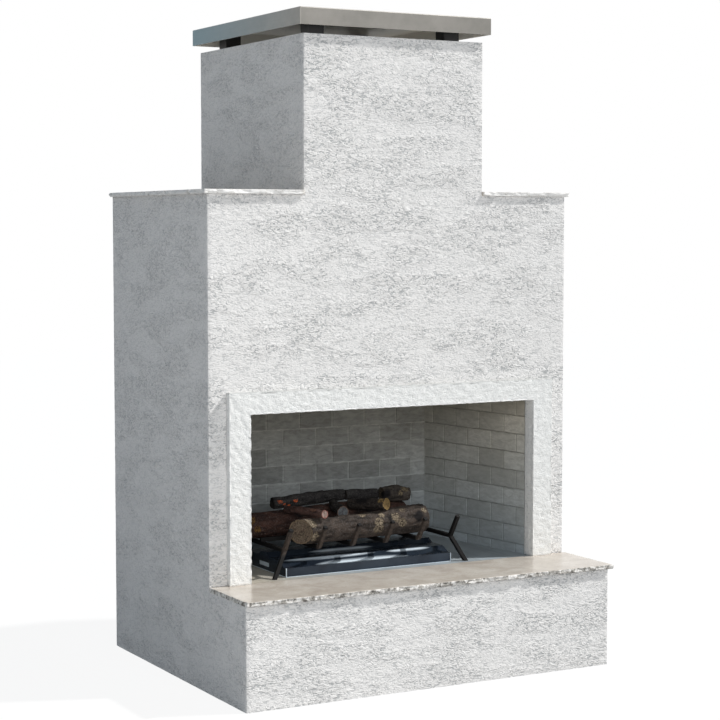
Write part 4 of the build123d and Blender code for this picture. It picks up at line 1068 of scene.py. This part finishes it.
class FIREPLACE_OT_logs(bpy.types.Operator):
    """Build the ceramic logs with bark, stripped places and cut ends"""

    bl_idname = "fireplace.logs"
    bl_label = "Ceramic logs"

    def execute(self, context):
        settings = context.scene.fireplace_logs
        # Marks are (share along, angle, radius): on the logs 0 is the front and 90 the top, on the
        # branches 180 is the left and 90 the top. Shares run from the left, or from the front.
        front = ceramic_bark("ceramic_oak_bark_grey", "#463D37", "#1F1B19", "#A0927C", "#38302A",
                             "#6A5A4E", "#7D6C57")
        bark_log("front_log", "log_front", "log_front", settings, front, 101, slant=38.0,
                 bare=[(0.6, 20, 16), (0.64, 50, 12), (0.6, -15, 18), (0.74, 30, 18), (0.78, 0, 16),
                       (0.5, 75, 14), (0.81, 60, 10), (0.04, 50, 22), (0.05, -20, 20), (0.97, 40, 10)],
                 char=[(0.92, 20, 24), (0.69, 30, 12)],
                 knots=[(0.21, 60, 9, 2.0), (0.47, 58, 10, 2.5), (0.62, 15, 20, 4.0),
                        (0.76, 30, 18, 4.0), (0.7, 85, 26, 3.5), (0.9, 60, 20, 3.0)])
        rear = ceramic_bark("ceramic_cherry_bark_red", "#463029", "#211614", "#8A6A3B", "#34221C",
                            "#4E382D", "#6B5236")
        bark_log("rear_log", "log_rear", "log_rear", settings, rear, 111,
                 bare=[(0.02, 40, 16), (0.05, -10, 12)], char=[(0.35, 70, 50), (0.75, 70, 70)],
                 knots=[(0.12, 30, 18, 3.0)])
        charred = ceramic_bark("ceramic_charred_log", "#343231", "#151415", "#4A4541", "#2A2725",
                               "#242120", "#1F1C1B", ember="#DE6A38")
        bark_log("top_left_log", "log_top_left", "log_top_left", settings, charred, 121, stretch=3.5,
                 ember=[(0.08, 20, 8), (0.13, -20, 8), (0.28, 10, 8), (0.2, -40, 7)],
                 char=[(0.0, 90, 20)], knots=[(0.5, 80, 14, 2.5), (0.7, 70, 12, 2.5)])
        dark = ceramic_bark("ceramic_dark_log", "#383635", "#181718", "#55504C", "#2A2725", "#282524",
                            "#2F2B29")
        bark_log("top_middle_log", "log_top_middle", "log_top_middle", settings, dark, 131, stretch=3.5,
                 knots=[(0.3, 90, 12, 2.5)])
        brown = ceramic_bark("ceramic_brown_log", "#49423C", "#211E1C", "#84775F", "#352E29", "#332D2A",
                             "#4A4037")
        bark_log("top_right_log", "log_top_right", "log_top_right", settings, brown, 141, stretch=2.5,
                 bare=[(0.8, 50, 16), (0.6, 10, 10)], char=[(0.05, 0, 26)],
                 knots=[(0.55, 70, 16, 5.0), (0.85, 40, 14, 3.0)])
        pink = ceramic_bark("ceramic_pink_cut_branch", "#57403A", "#281B19", "#8C6A58", "#45302A",
                            "#B7A29A", "#B25448")
        bark_log("left_branch", "branch_left", "branch_left", settings, pink, 151,
                 bare=[(0.25, 120, 12)], knots=[(0.6, 90, 9, 2.0)])
        grey = ceramic_bark("ceramic_grey_cut_branch", "#2F2B29", "#161414", "#5B4D40", "#2B2624",
                            "#878C90", "#93735F")
        bark_log("middle_branch", "branch_middle", "branch_middle", settings, grey, 161,
                 knots=[(0.0, 90, 16, 4.0), (0.0, 0, 14, 3.0), (0.0, 180, 14, 3.0)])
        gold = ceramic_bark("ceramic_gold_cut_branch", "#39322D", "#191614", "#A88C5C", "#2E2824",
                            "#75603F", "#8F7749")
        bark_log("right_branch", "branch_right", "branch_right", settings, gold, 171,
                 bare=[(0.1, 130, 12)], char=[(0.6, 90, 40)])
        return {"FINISHED"}


# Studio

def stand(name, data, place, tilt, turn):
    """Puts a light or the camera in the scene: tilted up from straight down, then turned about Z."""
    obj = bpy.data.objects.new(name, data)
    obj.location = place
    obj.rotation_euler = Euler((tilt, 0, turn))
    bpy.context.scene.collection.objects.link(obj)
    return obj


class FIREPLACE_OT_stage(bpy.types.Operator):
    """Set the floor, the lights and the camera"""

    bl_idname = "fireplace.stage"
    bl_label = "Studio"

    def execute(self, context):
        settings = context.scene.fireplace_stage
        scene = context.scene
        # The camera, and metal and stone that mirror the floor, see it nearly white with a faint
        # shadow. The light that it sends up to the object is that of a pale grey floor.
        floor_material, node, place = new_material("pale_studio_floor")
        seen = plain_view(node)
        cloud = node("TexNoise", Vector=place, Scale=1 / 400, Detail=3.0)
        grey = node("ValToRGB", [(0.2, "#AAAAAA"), (0.8, "#B2B2B2")], Fac=cloud)
        matte = node("BsdfDiffuse", Color=node("Mix", "RGBA", _0=seen, _6=grey, _7="#FFFFFF"))
        white = node("Emission", Color=(1, 1, 1, 1), Strength=1.0)
        share = node("Math", "MULTIPLY", _0=seen, _1=0.9)
        node("OutputMaterial", Surface=node("MixShader", _0=share, _1=matte, _2=white))
        x, y = np.meshgrid(*[np.linspace(-FLOOR_HALF, FLOOR_HALF, FLOOR_LINES)] * 2)
        mesh_object("floor", np.stack([x, y, np.full_like(x, FLOOR_LEVEL)], -1),
                             grid_faces(*x.shape), floor_material)

        key = bpy.data.lights.new("key", "SUN")
        key.energy = settings.sun
        key.angle = math.radians(SUN_ANGLE)
        key.color = SUN_COLOUR
        x, y, z = SUN_TRAVEL / np.linalg.norm(SUN_TRAVEL)
        stand("key", key, (0, 0, 0), math.acos(-z), math.atan2(y, x) + 1.5 * math.pi)

        fill = bpy.data.lights.new("front_fill", "AREA")
        fill.shape = "RECTANGLE"
        fill.size, fill.size_y = FILL_SIZE
        fill.energy = settings.fill
        fill.color = FILL_COLOUR
        stand("front_fill", fill, FILL_PLACE, math.radians(FILL_TILT), math.radians(FILL_TURN))

        scene.world = bpy.data.worlds.new("studio")
        node = emptied(scene.world)
        around = node("Background", Color="#D7E8F8", Strength=settings.sky)
        white = node("Background", Color=(1, 1, 1, 1), Strength=1.0)
        node("OutputWorld", Surface=node("MixShader", _0=plain_view(node), _1=around, _2=white))

        lens = bpy.data.cameras.new("camera")
        lens.lens = CAMERA_LENS
        lens.sensor_width = 36.0
        lens.clip_end = 100.0
        scene.camera = stand("camera", lens, CAMERA_PLACE, math.radians(CAMERA_TILT),
                             math.radians(CAMERA_TURN))
        scene.view_settings.view_transform = "Standard"
        return {"FINISHED"}


class FIREPLACE_PT_panel(bpy.types.Panel):
    """Lists the fireplace's pieces and their settings."""

    bl_idname = "FIREPLACE_PT_panel"
    bl_label = "Outdoor fireplace"
    bl_space_type = "VIEW_3D"
    bl_region_type = "UI"
    bl_category = "Fireplace"

    def draw(self, context):
        for key in ("stucco", "stone", "logs", "stage"):
            group = getattr(context.scene, f"fireplace_{key}")
            box = self.layout.box()
            for name in group.__annotations__:
                box.prop(group, name)
        for operator in OPERATORS:
            self.layout.operator(operator.bl_idname)


GROUPS = {"fireplace_stucco": StuccoSettings, "fireplace_stone": StoneSettings,
          "fireplace_logs": LogSettings, "fireplace_stage": StageSettings}
OPERATORS = (FIREPLACE_OT_stage, FIREPLACE_OT_stucco, FIREPLACE_OT_surround, FIREPLACE_OT_stone,
             FIREPLACE_OT_lining, FIREPLACE_OT_metal, FIREPLACE_OT_boards, FIREPLACE_OT_logs)


def register():
    for group in GROUPS.values():
        bpy.utils.register_class(group)
    for name, group in GROUPS.items():
        setattr(bpy.types.Scene, name, bpy.props.PointerProperty(type=group))
    for operator in OPERATORS:
        bpy.utils.register_class(operator)
    bpy.utils.register_class(FIREPLACE_PT_panel)


def unregister():
    bpy.utils.unregister_class(FIREPLACE_PT_panel)
    for operator in reversed(OPERATORS):
        bpy.utils.unregister_class(operator)
    for name, group in reversed(GROUPS.items()):
        delattr(bpy.types.Scene, name)
        bpy.utils.unregister_class(group)


def main():
    """Builds every piece in order."""
    register()
    for operator in OPERATORS:
        group, name = operator.bl_idname.split(".")
        getattr(getattr(bpy.ops, group), name)()


if __name__ == "__main__":
    main()
